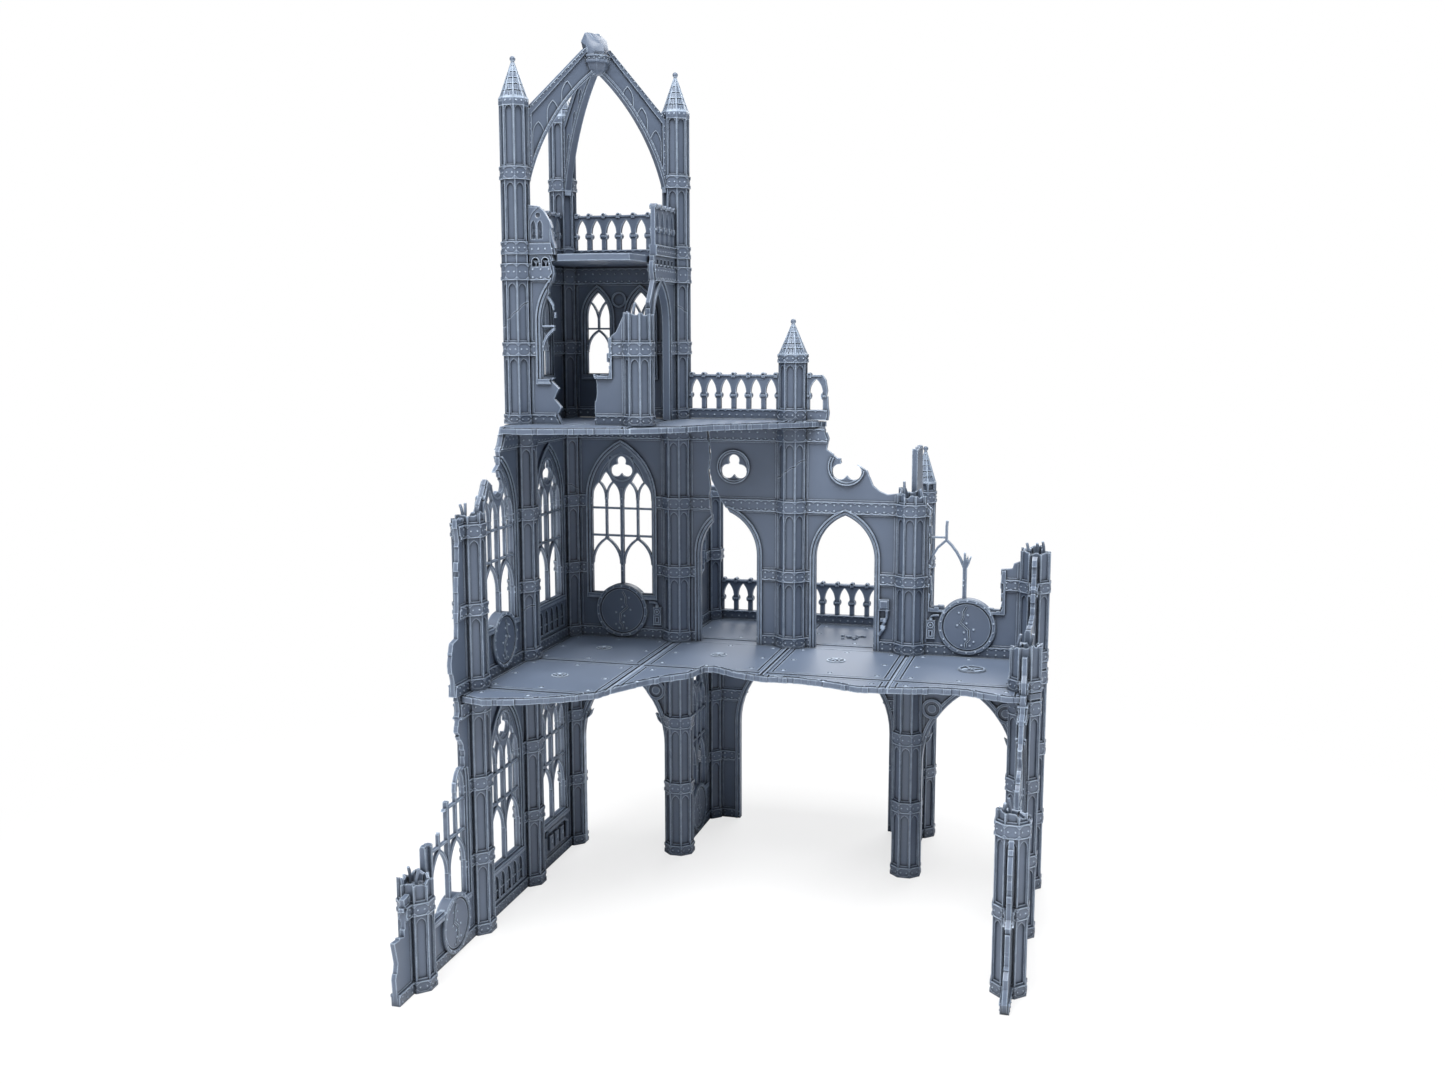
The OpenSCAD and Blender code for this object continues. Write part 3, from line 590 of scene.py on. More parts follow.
def banded(sheet, bands, u0, u1, pitch=4.4):
    """Raised bands with a lip and a scalloped edge, and a rivet between the scallops."""
    count = max(1, round((u1 - u0) / pitch))
    step = (u1 - u0) / count
    for z0, z1 in bays(bands):
        sheet.paint(rect(u0 - 1, z0, u1 + 1, z1), BAND)
        edges = [(z1 - BAND_EDGE, -1)] + ([(z0 + BAND_EDGE, 1)] if z0 > 0 else [])
        for z, rise in edges:
            low, high = sorted((z, z - rise * BAND_EDGE))
            sheet.paint(rect(u0 - 1, low, u1 + 1, high), BAND_LIP)
        for i in range(count + 1):
            u = u0 + i * step
            for z, rise in edges:
                sheet.paint([(u - SCALLOP, z), (u + SCALLOP, z), (u, z + rise * 0.7)], BAND_LIP)
        middle = (z0 + z1) / 2
        rows = (middle + 1.3, z0 + 1.5) if z1 - z0 > 5.5 else (middle,)
        for i in range(count):
            for z in rows:
                sheet.stud(u0 + (i + 0.5) * step, z, 0.5, 0.4)


def plain_wall(u0, u1, top, bands=BANDS):
    """Wall between u0 and u1, in bays, with bands and the sunk fields between them."""
    sheet = Sheet(bay_rect(u0, 0, u1, top), WALL)
    u0, u1 = u0 * BAY, u1 * BAY
    for z0, z1 in clear_heights(bands, top * BAY):
        sheet.paint(rect(u0 + 1.4, z0 + 1.0, u1 - 1.4, z1 - 1.0), FIELD)
    banded(sheet, bands, u0, u1)
    return sheet


def framed_opening(sheet, u, shape, n=10):
    """Moulded frame round a pointed opening: outer roll, hollow, inner step."""
    for grow, level in ((0.050, FRAME_OUT), (0.036, WALL - 0.1), (0.028, FRAME_IN), (0.012, WALL - 0.35)):
        sheet.paint(pointed(u, *shape, grow * BAY, n), level)
    sheet.cut(pointed(u, *shape, 0, n))


def framed_window(sheet, u, shape):
    """Framed pointed opening over a projecting sill."""
    framed_opening(sheet, u, shape)
    half, sill = shape[:2]
    reach = half + 0.05 * BAY
    sheet.add(rect(u - reach, sill - 0.035 * BAY, u + reach, sill - 0.01 * BAY), FRAME_OUT)


def arched(sheet, at, half, spring, apex, inner=0.024, n=14):
    """Pointed arch open to the ground, in a stepped frame."""
    shape = (half * BAY, -1, spring * BAY, apex * BAY)
    for grow, level in ((0.045, FRAME_OUT), (inner, FRAME_IN)):
        sheet.paint(pointed(at * BAY, *shape, grow * BAY, n), level)
    sheet.cut(pointed(at * BAY, *shape, 0, n))


def trefoil(sheet, u, z, grow=1.0):
    size = grow * BAY
    sheet.cut(circle(u, z + 0.055 * size, 0.041 * size, 20))
    for side in (-1, 1):
        sheet.cut(circle(u + side * 0.047 * size, z - 0.026 * size, 0.051 * size, 22))
    sheet.cut(circle(u, z, 0.05 * size, 16, 0.2))


# Tall window, in bays: its opening, the trefoil in its head, and how far its lights stand from the middle
WINDOW = (0.27, 0.39, 1.21, 1.66)
TREFOIL_Z = 1.478
PAIR = 0.142
LIGHT = 0.0685
EYELET = [(0, 1.268), (0.016, 1.305), (0.036, 1.337), (0.055, 1.356), (0.036, 1.392), (0.018, 1.42),
          (0, 1.438)]


def tall_window(sheet):
    """Four light traceried window with a trefoil in its head, in a moulded frame."""
    at = 0.5
    u = at * BAY
    half, sill, spring, apex = (size * BAY for size in WINDOW)
    framed_window(sheet, u, (half, sill, spring, apex))
    sheet.fill(rect(u - 0.014 * BAY, sill, u + 0.014 * BAY, 1.30 * BAY), MULLION)
    for pair in (at - PAIR, at + PAIR):
        sheet.fill(bay_rect(pair - 0.0095, 0.86, pair + 0.0095, 1.25), TRACERY)
        sheet.fill(ribbon(bays(arch_line(pair, 0.13, 0.64, 0.862)), 1.35), TRACERY)
        sheet.fill(circle(pair * BAY, 0.865 * BAY, 1.1, 10), TRACERY)
    for z in (0.887 * BAY, 1.125 * BAY):
        sheet.fill(rect(u - half, z - 0.55, u + half, z + 0.55), TRACERY)
    # the solid head with its lancet tops, eyelets and trefoil
    sheet.fill(rect(u - half, 1.2 * BAY, u + half, apex + 1), TRACERY + 0.1)
    sheet.paint(ribbon(bays(arch_line(at, 0.205, 1.30, 1.60)), 0.6), TRACERY - 0.25)
    for side in (-1, 1):
        pair = at + side * PAIR
        for light in (pair - LIGHT, pair + LIGHT):
            sheet.cut(bays(pointed(light, 0.056, 1.19, 1.225, 1.345, 0, 6)))
        sheet.cut(bays(mirrored([(pair + out, z) for out, z in EYELET], pair)))
        sheet.paint(circle(u + side * 0.1 * BAY, 1.56 * BAY, 0.016 * BAY, 8), TRACERY - 0.3)
    sheet.paint(circle(u, TREFOIL_Z * BAY, 0.122 * BAY, 30), TRACERY + 0.35)
    sheet.paint(circle(u, TREFOIL_Z * BAY, 0.107 * BAY, 30), TRACERY)
    trefoil(sheet, u, TREFOIL_Z * BAY)


def sill_arcade(sheet, low, high, half=0.29, count=5):
    """Blind arcade of narrow pointed arches under a sill."""
    u0, u1, z0, z1 = (v * BAY for v in (0.5 - half, 0.5 + half, low, high))
    sheet.paint(rect(u0, z0, u1, z1), BAND)
    step = (u1 - u0) / count
    spring = z1 - 0.75 * step
    for i in range(count):
        u = u0 + (i + 0.5) * step
        reach = 0.36 * step
        sheet.paint(pointed(u, reach, z0 + 1.0, spring, z1 - 1.0, 0, 5), FIELD - 0.25)
        sheet.paint(rect(u - 0.3, z0 + 1.0, u + 0.3, spring), WALL)
        sheet.paint(rect(u - reach, z0 + 5.2, u + reach, z0 + 6.0), WALL)


def window_wall(arcade=False, high=TOP):
    sheet = plain_wall(START, END, high)
    tall_window(sheet)
    if arcade:
        sill_arcade(sheet, 0.11, 0.34)
    return sheet


def torn(sheet, left, foot, path, seed, core=0.78):
    """Breaks the sheet off along a path that runs up from the foot, with the core thinned along it."""
    kept = bays([(left, path[-1][1]), (left, 0), (foot, 0)])
    sheet.keep(kept + chipped(bays(path), seed, 3.2, 0.95))
    inner = shrink(chipped(bays(path), seed + 50, 2.4, 0.8), 0.9)
    sheet.thin_outside(kept + inner, core * WALL)
    return sheet


def stub(u1, high, foot, path, seed):
    """What is left of a plain wall beside the column it starts from."""
    return torn(plain_wall(START, u1, high), START, foot, path, seed)


def both_faces(place):
    """The front and the back of a wall, with depth counted outwards."""
    return [lambda u, z, d, side=side: place(u, z, side * d) for side in (1, -1)]


def cast(node, place, sheet, dress=None, underside=None):
    """Makes the visible piece of a node from a sheet and what dress(casting, place) adds to it."""
    casting = Casting()
    casting.sheet(sheet, place, double=underside is None, floor=underside)
    if dress:
        dress(casting, place)
    casting.finish(node)


# Course of the weld across a round plate and its rivets, as shares of the plate's radius
WELD = [(-0.04, 0.9), (-0.17, 0.66), (-0.17, 0.38), (-0.28, 0.17), (0.07, -0.14), (0.11, -0.56),
        (-0.03, -0.7), (-0.05, -0.93)]
WELD_RIVETS = [(0.03, 0.53), (-0.36, 0.62), (-0.02, 0.16), (-0.42, 0.05), (-0.12, -0.25), (0.29, -0.1),
               (-0.07, -0.56), (0.3, -0.66), (0.14, -0.84), (-0.22, -0.84)]


def medallion(casting, place, u, z, r, flip):
    """Round riveted plate with a stepped weld across it, the same on both faces."""
    sheet = Sheet(circle(u, z, r + 1.5, 48), DISC_RING - 0.35)
    for grow, level in ((1.2, DISC_RING), (-0.35, DISC_RING - 0.35), (-0.65, DISC - 0.7),
                        (-1.3, DISC - 0.15)):
        sheet.paint(circle(u, z, r + grow, 48), level)
    inner = r - 1.6
    weld = [(u + flip * a * inner, z + b * inner) for a, b in WELD]
    sheet.paint(ribbon(weld, 1.25), DISC + 0.15)
    sheet.paint(ribbon(weld, 0.55), DISC - 0.5)
    for a, b in WELD_RIVETS:
        sheet.stud(u + flip * a * inner, z + b * inner, 0.62, 0.5)
    for rivet_u, rivet_z in circle(u, z, r + 0.42, 18, math.pi / 18):
        sheet.stud(rivet_u, rivet_z, 0.52, 0.42)
    casting.sheet(sheet, place)


def cast_plated(node, place, sheet, u, z, r, flip=1, dress=None):
    """Casts a wall that carries a round plate in a flat bed."""
    u, z, r = u * BAY, z * BAY, r * BAY
    sheet.paint(circle(u, z, r + 0.9, 40), WALL - 0.4)

    def plate_and_dress(casting, place):
        medallion(casting, place, u, z, r, flip)
        if dress:
            dress(casting, place)

    cast(node, place, sheet, plate_and_dress)


def lock_box(casting, place, u, z, toward):
    """Valve box with an eye over a slot, and a pipe bending from its top to the round plate."""
    u, z = u * BAY, z * BAY
    for face in both_faces(place):
        box = Sheet(rect(u - 2.5, z, u + 2.5, z + 10.6), 2.3)
        for half, low, high, level in ((2.25, 0.25, 10.35, 2.75), (1.7, 0.9, 5.4, 2.4), (1.3, 1.3, 5.0, 2.9),
                                       (0.45, 2.0, 4.4, 2.0)):
            box.paint(rect(u - half, z + low, u + half, z + high), level)
        for radius, level in ((1.75, 3.1), (1.25, 2.5), (0.7, 3.3)):
            box.paint(circle(u, z + 7.9, radius, 20), level)
        for corner, rise in ((-1.96, 0.5), (1.96, 0.5), (-1.96, 10.1), (1.96, 10.1)):
            box.stud(u + corner, z + rise, 0.3, 0.3)
        casting.sheet(box, face, double=False, floor=0.5)
        path = [face(u + toward * out, z + rise, depth) for out, rise, depth in (
            (0, 10.4, 2.2), (0, 11.6, 2.3), (0.5, 12.6, 2.3), (1.5, 13.1, 2.3), (4.4, 13.2, 2.2))]
        casting.tube(path, 0.72)
        casting.tube(path[:2], 1.05)


def control_box(casting, place, u=0.79, z=0.36):
    """Panel box with a bent pipe running down the wall."""
    u, z = u * BAY, z * BAY
    for face in both_faces(place):
        casting.block(face, u - 2.7, z, u + 2.7, z + 5.4, 0.5, 3.4)
        casting.block(face, u - 2.0, z + 0.9, u + 2.0, z + 4.6, 3.2, 4.0)
        casting.block(face, u - 2.9, z - 0.9, u + 2.9, z - 0.2, 0.5, 3.2)
        casting.tube([face(u + out, z - drop, depth) for out, drop, depth in (
            (1.6, 0, 2.4), (1.6, 4.2, 2.6), (0.7, 6.2, 2.7), (-0.4, 8.6, 2.7), (-0.7, 11.5, 2.6),
            (-2.6, 14.5, 2.2))], 0.95)
        for drop in (5.0, 9.0):
            casting.block(face, u - 1.9, z - drop - 1.9, u + 0.9, z - drop, 0.5, 3.6)
        casting.dome(u - 0.5, z - 10.9, 3.0, 1.1, 0.7, face)


# ---------------------------------------------------------------- ground storey


def pipe_and_blocks(casting, place):
    """A pipe bent round three knobbed blocks, in the field under a window."""
    for face in both_faces(place):
        casting.tube([face(u * BAY, z * BAY, depth) for u, z, depth in (
            (0.26, 0.13, 2.2), (0.26, 0.28, 2.4), (0.32, 0.32, 2.4), (0.7, 0.32, 2.4), (0.75, 0.28, 2.4),
            (0.75, 0.1, 2.2))], 1.1)
        for u in (0.38, 0.5, 0.62):
            casting.block(face, (u - 0.035) * BAY, 0.14 * BAY, (u + 0.035) * BAY, 0.27 * BAY, 0.5, 3.0)
            casting.dome(u * BAY, 0.22 * BAY, 3.0, 1.2, 0.6, face)


# Outline of a claw: how far it reaches into the arch, and how far it lies above its root
CLAW = [(-1.5, -5.0), (0.6, -3.6), (2.6, -2.2), (4.2, -0.4), (5.6, 3.4), (4.4, 2.6), (3.7, 1.4), (3.6, 4.4),
        (2.4, 2.2), (1.4, 2.4), (1.0, 4.0), (0.2, 3.0), (-1.5, 3.4)]
CLAW_ROOT = 1.19 * BAY
HALL_HALF = 0.375


def claws(casting, place):
    """A clawed cusp on each jamb of a hall arch."""
    for side in (-1, 1):
        jamb = (0.5 + side * HALL_HALF) * BAY
        leaf = Sheet([(jamb - side * a, CLAW_ROOT + b) for a, b in CLAW], 1.3)
        leaf.paint([(jamb - side * (a * 0.8 + 0.2), CLAW_ROOT + b * 0.7 - 0.3) for a, b in CLAW], 0.9)
        casting.sheet(leaf, place)


def hall_arch(node, x):
    """Wide pointed arch with ringed bosses, pierced spandrels and clawed cusps."""
    sheet = plain_wall(START, END, TOP)
    arched(sheet, 0.5, HALL_HALF, 0.97, 1.62)
    for u in (0.2, 0.8):
        for radius, level, n in ((0.085, BAND_LIP, 24), (0.062, WALL, 24), (0.036, BAND, 16)):
            sheet.paint(circle(u * BAY, 1.45 * BAY, radius * BAY, n), level)
        sheet.cut(bay_rect(u - 0.045, 1.58, u + 0.045, 1.66))
    cast(node, along_back(x, 0), sheet, claws)


def ground_walls():
    cast("ground_left_bay_1", along_side(0, 0), window_wall(), pipe_and_blocks)
    cast("ground_left_bay_2", along_side(0, -BAY), window_wall(arcade=True))
    sheet = torn(window_wall(high=FULL), START, END, [
        (END, 0.97), (0.64, 0.98), (0.52, 1.18), (0.38, 1.18), (0.36, 1.34), (0.21, 1.36), (0.22, 1.52),
        (0.31, 1.64), (0.27, 1.79), (0.29, FULL)], 31)
    cast_plated("ground_left_bay_3", along_side(0, -2 * BAY), sheet, 0.45, 0.235, 0.2, -1)
    cast("ground_left_stub", along_side(0, -3 * BAY), stub(0.4, 0.8, 0.33, [
        (0.35, 0.2), (0.31, 0.3), (0.35, 0.46), (0.21, 0.45), (0.2, 0.71), (START, 0.72)], 32))

    hall_arch("ground_back_arch_left", 0)
    hall_arch("ground_back_arch_right", 3 * BAY)
    sheet = plain_wall(START, 2 - START, TOP)
    arched(sheet, 1.0, 0.7, 0.93, 1.66)
    for u in (0.21, 1.79):
        for z0, z1 in ((0.1, 0.54), (0.67, 1.12)):
            sheet.paint(bay_rect(u - 0.045, z0, u + 0.045, z1), FIELD)
    cast("porch_arch_wall", along_back(BAY, BAY), sheet)
    for node, x in (("porch_left_wall", BAY), ("porch_right_wall", 3 * BAY)):
        cast_plated(node, along_porch(x, 0), window_wall(), 0.5, 0.235, 0.2)

    cast("ground_right_bay_1", along_side(4 * BAY, 0), window_wall(arcade=True))
    sheet = torn(window_wall(high=FULL), START, END, [
        (END, 1.14), (0.76, 1.16), (0.7, 1.34), (0.56, 1.37), (0.53, 1.55), (0.4, 1.6), (0.36, 1.76),
        (0.27, 1.79), (0.25, FULL)], 33)
    cast_plated("ground_right_bay_2", along_side(4 * BAY, -BAY), sheet, 0.5, 0.235, 0.2, -1)
    cast("ground_right_stub", along_side(4 * BAY, -2 * BAY), stub(0.45, 1.2, 0.37, [
        (0.4, 0.08), (0.35, 0.17), (0.36, 0.24), (0.27, 0.3), (0.26, 0.56), (0.2, 0.6), (0.21, 0.98),
        (START, 1.14)], 34))


# ---------------------------------------------------------------- columns

SHAFT = 10.0  # height of the nominal face in a column sheet, so that recesses stay above zero
RIDGE = 0.42
COLLAR_LIP = 0.5
RIM_STEPS = 4
FRONT_FACE = 6

# Corner of a band: how far it reaches in from the ridge, and how far it runs along the shaft
BRACKET = [(0, 0), (0, 1.35), (0.45, 1.1), (1.0, 0.45), (1.7, 0)]

# Sunken rings of a break: share of the column's radius, and share of the depth
BREAK_RINGS = ((0.93, 0.06), (0.80, 0.1), (0.74, 0.9), (0.5, 1.1), (0.25, 0.8))


def column_sheet(half, high, bands, top_path=None, crack=None):
    """One face of an octagonal column: corner ridges, blind lancets between bands, rivets."""
    sheet = Sheet(rect(-half, 0, half, high), SHAFT - 0.45)
    for u in (-half, half - RIDGE):
        sheet.paint(rect(u, 0, u + RIDGE, high), SHAFT)
    inner = half - RIDGE - 0.4
    for z0, z1 in clear_heights(bands, high + 0.02 * BAY):
        sheet.paint(pointed(0, inner, z0 + 1.0, z1 - 1.6 - 1.3 * inner, z1 - 1.6, 0, 7), SHAFT - 1.35)
    for z0, z1 in bays(bands):
        foot = 1.0 if z0 == 0 else COLLAR_LIP
        sheet.paint(rect(-half, z0, half, z1), SHAFT + 0.2)
        sheet.paint(rect(-half, z1 - COLLAR_LIP, half, z1), SHAFT + 0.55)
        sheet.paint(rect(-half, z0, half, z0 + foot), SHAFT + 0.55)
        for side in (-1, 1):
            for z, rise in ((z1 - COLLAR_LIP, -1), (z0 + foot, 1)):
                corner = [(side * (half - reach), z + rise * run) for reach, run in BRACKET]
                sheet.paint(corner, SHAFT + 0.55)
            sheet.stud(side * half * 0.5, (z0 + z1) / 2, 0.42, 0.42)
    if crack:
        sheet.paint(crack, SHAFT - 1.7)
    if top_path:
        sheet.keep([(-half, 0), (half, 0)] + top_path)
    return sheet


def broken_rim(dice, level, rough):
    """Heights round a break: a lean, coarse steps and a little noise."""
    count = 8 * RIM_STEPS
    lean = dice.uniform(0, 6.28)
    rim = []
    for i in range(count):
        if i % 2 == 0:
            step = dice.uniform(-0.45, 0.35) * rough
        slope = 0.35 * rough * math.cos(2 * math.pi * i / count - lean)
        rim.append(level + slope + step + dice.uniform(-0.1, 0.1))
    return rim


def ragged_end(casting, loop, x, y, dice):
    """Closes a break in ragged sunken rings."""
    points = [casting.verts[i] for i in loop]
    floor = min(p.z for p in points) - 1.6
    last = loop
    for size, share in BREAK_RINGS:
        turn = dice.uniform(0, 6.28)
        rough = 0.5 if share > 0.5 else 0.15
        first = len(casting.verts)
        for p in points:
            angle = math.atan2(p.y - y, p.x - x)
            drop = (p.z - floor) * share + rough * math.sin(round((angle + turn) / 0.6) * 2.9)
            casting.verts.append(Vector((x + (p.x - x) * size, y + (p.y - y) * size, p.z - drop)))
        ring = list(range(first, len(casting.verts)))
        for i in range(len(loop)):
            j = (i + 1) % len(loop)
            casting.faces.append([last[i], last[j], ring[j], ring[i]])
        last = ring
    casting.faces.append(last)


def octagon_column(casting, x, y, z, high, across, bands, broken=None, seed=0, crack_at=None):
    """Eight relief faces round an axis. broken is (height, roughness) in bays where the column snapped off,
    and crack_at is (height in bays, slope) of a crack across the front faces."""
    apothem = across / 2
    half = apothem * math.tan(math.pi / 8)
    dice = random.Random(seed)
    rim = broken_rim(dice, broken[0] * BAY, broken[1] * BAY) if broken else None
    first_vert, first_face = len(casting.verts), len(casting.faces)
    faces = []
    for k in range(8):
        top_path = None
        if rim:
            top_path = [(-half + 2 * half * i / RIM_STEPS, rim[(k * RIM_STEPS + i) % len(rim)])
                        for i in range(RIM_STEPS, -1, -1)]
        crack = None
        if crack_at and abs(k - FRONT_FACE) <= 2:
            level, slope = crack_at
            middle = level * BAY + slope * (k - FRONT_FACE) * 2 * half
            crack = [(-half, middle - slope * half), (0, middle + 0.6), (half, middle + slope * half)]
            crack += [(u, v + 0.5) for u, v in reversed(crack)]
        cos_t, sin_t = math.cos(math.pi / 4 * k), math.sin(math.pi / 4 * k)

        def place(u, v, d, cos_t=cos_t, sin_t=sin_t):
            radius = apothem + d - SHAFT
            spread = u * radius / apothem
            return Vector((x + radius * cos_t - spread * sin_t, y + radius * sin_t + spread * cos_t, z + v))

        sheet = column_sheet(half, high, bands, top_path, crack)
        faces.append((sheet, place))
        casting.sheet(sheet, place, double=False, studded=False)

    def close_end(loop):
        mean = sum(casting.verts[i].z for i in loop) / len(loop)
        if rim and mean > z + 1:
            ragged_end(casting, loop, x, y, dice)
        else:
            casting.faces.append(loop)

    casting.weld_and_close(first_vert, first_face, close_end)
    for sheet, place in faces:
        casting.studs(sheet, place, double=False)


def octagon_ring(x, y, z, apothem):
    return [Vector((u, v, z)) for u, v in circle(x, y, apothem / math.cos(math.pi / 8), 8, math.pi / 8)]


def bent_bars(casting, x, y, z, spots, seed):
    """Bent reinforcing bars with a knobbly skin, standing out of a break."""
    dice = random.Random(seed)
    for dx, dy in spots:
        foot = Vector((x + dx, y + dy, z))
        lean_x, lean_y = dice.uniform(-1.6, 1.6), dice.uniform(-1.6, 1.6)
        path = [foot - Vector((0, 0, 4)), foot + Vector((0, 0, 0.5)),
                foot + Vector((0.3 * lean_x, 0.3 * lean_y, 2.4)),
                foot + Vector((lean_x, lean_y, dice.uniform(4.2, 6.4)))]
        casting.tube(path, [0.75, 0.75, 0.8, 0.7], 7)


def peg(casting, x, y, z):
    casting.tube([(x, y, z - 3), (x, y, z - 2.6), (x, y, z + 1)], [1.6, 1.98, 1.98], 20)


def columns(node, spots, z=0, high=WALL_H, across=COLUMN, bands=BANDS, pegs=(), cracks=None):
    """Whole columns at grid points, as one piece."""
    casting = Casting()
    for i, (gx, gy) in enumerate(spots):
        crack_at = (cracks or {}).get((gx, gy))
        octagon_column(casting, gx * BAY, gy * BAY, z, high, across, bands, crack_at=crack_at, seed=i)
    for gx, gy in pegs:
        peg(casting, gx * BAY, gy * BAY, z)
    casting.finish(node)


def snapped_column(node, gx, gy, z, at, rough, seed, bars, across=COLUMN, bands=BANDS, with_peg=False,
                   beside=None):
    """Column snapped off at a height in bays, with bent bars; beside is a sheet and its place."""
    casting = Casting()
    if beside:
        casting.sheet(*beside)
    x, y = gx * BAY, gy * BAY
    whole_bands = [band for band in bands if band[0] < at]
    octagon_column(casting, x, y, z, (at + rough + 0.05) * BAY, across, whole_bands, (at, rough), seed)
    bent_bars(casting, x, y, z + at * BAY, bars, seed)
    if with_peg:
        peg(casting, x, y, z)
    casting.finish(node)


def ground_columns():
    columns("ground_columns_left", [(0, 0), (0, -1), (0, -2)])
    columns("ground_columns_back", [(1, 0), (3, 0)])
    columns("ground_columns_right", [(4, 0), (4, -1)])
    columns("porch_posts", [(1, 1), (3, 1)])
    snapped_column("ground_broken_column_left", 0, -3, 0, 0.79, 0.05, 41, [(-3.5, 2), (2, -2.5)])
    snapped_column("ground_broken_column_right", 4, -2, 0, 1.3, 0.05, 42, [(-4, -3), (-1.5, 0)])


# ---------------------------------------------------------------- floors

MARGIN = 0.12  # how far the porch roof reaches past its column lines, in bays
BEYOND = 1.5 / BAY  # how far a floor reaches past a column line
BESIDE = 1.6 / BAY  # where a floor edge passes a broken wall
SEAT = COLUMN / 2 / BAY
BOLT_INSET = 8.5
RUBBLE_SPREAD = (8, 4.5)


def flat(x, y, z):
    """Lays a sheet on its back, with depth counted up."""
    return lambda u, v, d: Vector((x + u, y + v, z + d))


def plate(sheet, gx, gy, high=1.0):
    """One cast floor plate from a grid point: joint, border, inner groove and bolts."""
    (u0, z0), (u1, z1) = bays([(gx, gy), (gx + 1, gy + high)])
    for inset, level in ((0.6, FLOOR_T - 0.9), (1.3, FLOOR_T), (3.4, FLOOR_T - 0.8), (4.3, FLOOR_T)):
        sheet.paint(rect(u0 + inset, z0 + inset, u1 - inset, z1 - inset), level)
    middle_u, middle_z = (u0 + u1) / 2, (z0 + z1) / 2
    for u in (u0 + BOLT_INSET, middle_u, u1 - BOLT_INSET):
        for z in (z0 + BOLT_INSET, middle_z, z1 - BOLT_INSET):
            if (u, z) != (middle_u, middle_z):
                sheet.paint(circle(u, z, 1.5, 16), FLOOR_T - 0.3)
                sheet.stud(u, z, 0.95, 0.35)


def broken_floor(node, top, outline, path, seed, cells, seats, lines, dress=None, underside=0.0):
    """Plated floor with a roughly broken front edge and an octagonal seat under each column.
    lines are the column lines that it lies between."""
    sheet = Sheet(bays(outline) + chipped(bays(path), seed, 2.4, 0.55), FLOOR_T - 0.5)
    for gx, gy in seats:
        ring = octagon_ring(gx * BAY, gy * BAY, 0, COLUMN / 2)
        sheet.add([(min(max(p.x, lines[0] * BAY), lines[1] * BAY), p.y) for p in ring], FLOOR_T - 0.01)
    for gx, gy in cells:
        plate(sheet, gx, gy)
    for gx in (1, 2, 3):
        for half, level in ((1.6, FLOOR_T + 0.4), (0.7, FLOOR_T - 0.5)):
            if lines[0] < gx < lines[1]:
                sheet.paint(rect(gx * BAY - half, -3 * BAY, gx * BAY + half, -0.1 * BAY), level)
    inner = shrink(chipped(bays(path), seed + 60, 2.0, 0.6), 1.1)
    sheet.thin_outside(bays(outline) + inner, FLOOR_T - 0.6)
    cast(node, flat(0, 0, top - FLOOR_T), sheet, dress, underside)


def vent(casting, gx, gy, r=7.2, spokes=4):
    """Round cast vent on the first floor: a raised rim over a dark dish with a hub and spokes."""
    sheet = Sheet(circle(0, 0, r, 36), 0.55)
    sheet.paint(circle(0, 0, r - 0.3, 36), 0.95)
    sheet.paint(circle(0, 0, r - 1.35, 36), 0.12)
    for end in circle(0, 0, r - 1, spokes, 0.7 * math.pi / spokes):
        sheet.paint(ribbon([(0, 0), end], 1.0), 0.75)
    sheet.paint(circle(0, 0, 1.9, 20), 1.0)
    sheet.paint(circle(0, 0, 1.1, 16), 0.6)
    sheet.stud(0, 0, 0.7, 0.5)
    for u, z in circle(0, 0, r - 0.8, 8):
        sheet.stud(u, z, 0.35, 0.3)
    casting.sheet(sheet, flat(gx * BAY, gy * BAY, FLOOR_ONE), double=False, floor=-0.6)


def star_plate(casting, gx, gy, r=4.4):
    """Small round cover on the first floor with eight short rays."""
    sheet = Sheet(circle(0, 0, r, 32), 0.4)
    sheet.paint(circle(0, 0, r - 0.7, 32), 0.15)
    for k in range(8):
        c, s = math.cos(math.pi * k / 4), math.sin(math.pi * k / 4)
        ray = [(1.4, 0.7), (1.4, -0.7), (r * 0.92, 0)]
        sheet.paint([(c * a - s * b, s * a + c * b) for a, b in ray], 0.65)
    sheet.paint(circle(0, 0, 1.6, 20), 0.8)
    sheet.stud(0, 0, 0.9, 0.5)
    casting.sheet(sheet, flat(gx * BAY, gy * BAY, FLOOR_ONE), double=False, floor=-0.6)


def rubble(casting, x, y, z, seed, count=9):
    """A few broken blocks lying on a floor."""
    dice = random.Random(seed)
    for _ in range(count):
        dx, dy = (dice.uniform(-spread, spread) for spread in RUBBLE_SPREAD)
        w, d, h = dice.uniform(1.2, 3.4), dice.uniform(1.0, 2.6), dice.uniform(0.7, 1.6)
        turn = dice.uniform(0, 3.14)
        c, s = math.cos(turn), math.sin(turn)
        rings = []
        for lift, size in ((-0.1, 1.0), (0.75, 0.95), (1.0, 0.8)):
            corners = rect(-w * size / 2, -d * size / 2, w * size / 2, d * size / 2)
            rings.append([(x + dx + c * u - s * v, y + dy + s * u + c * v, z + lift * h) for u, v in corners])
        casting.hull_ring(rings)


def left_floor(node, top, front_y, seat_y, path, seed, cells, seats, dress=None, underside=0.0):
    """Floor between the first two column lines, broken off in front of the last seat."""
    side_y = seat_y - SEAT
    outline = [(1.0, front_y), (1.0, BEYOND), (-BEYOND, BEYOND), (-BEYOND, side_y), (BESIDE, side_y)]
    broken_floor(node, top, outline, path + [(1.0, front_y)], seed, cells, seats, (-1, 1), dress, underside)


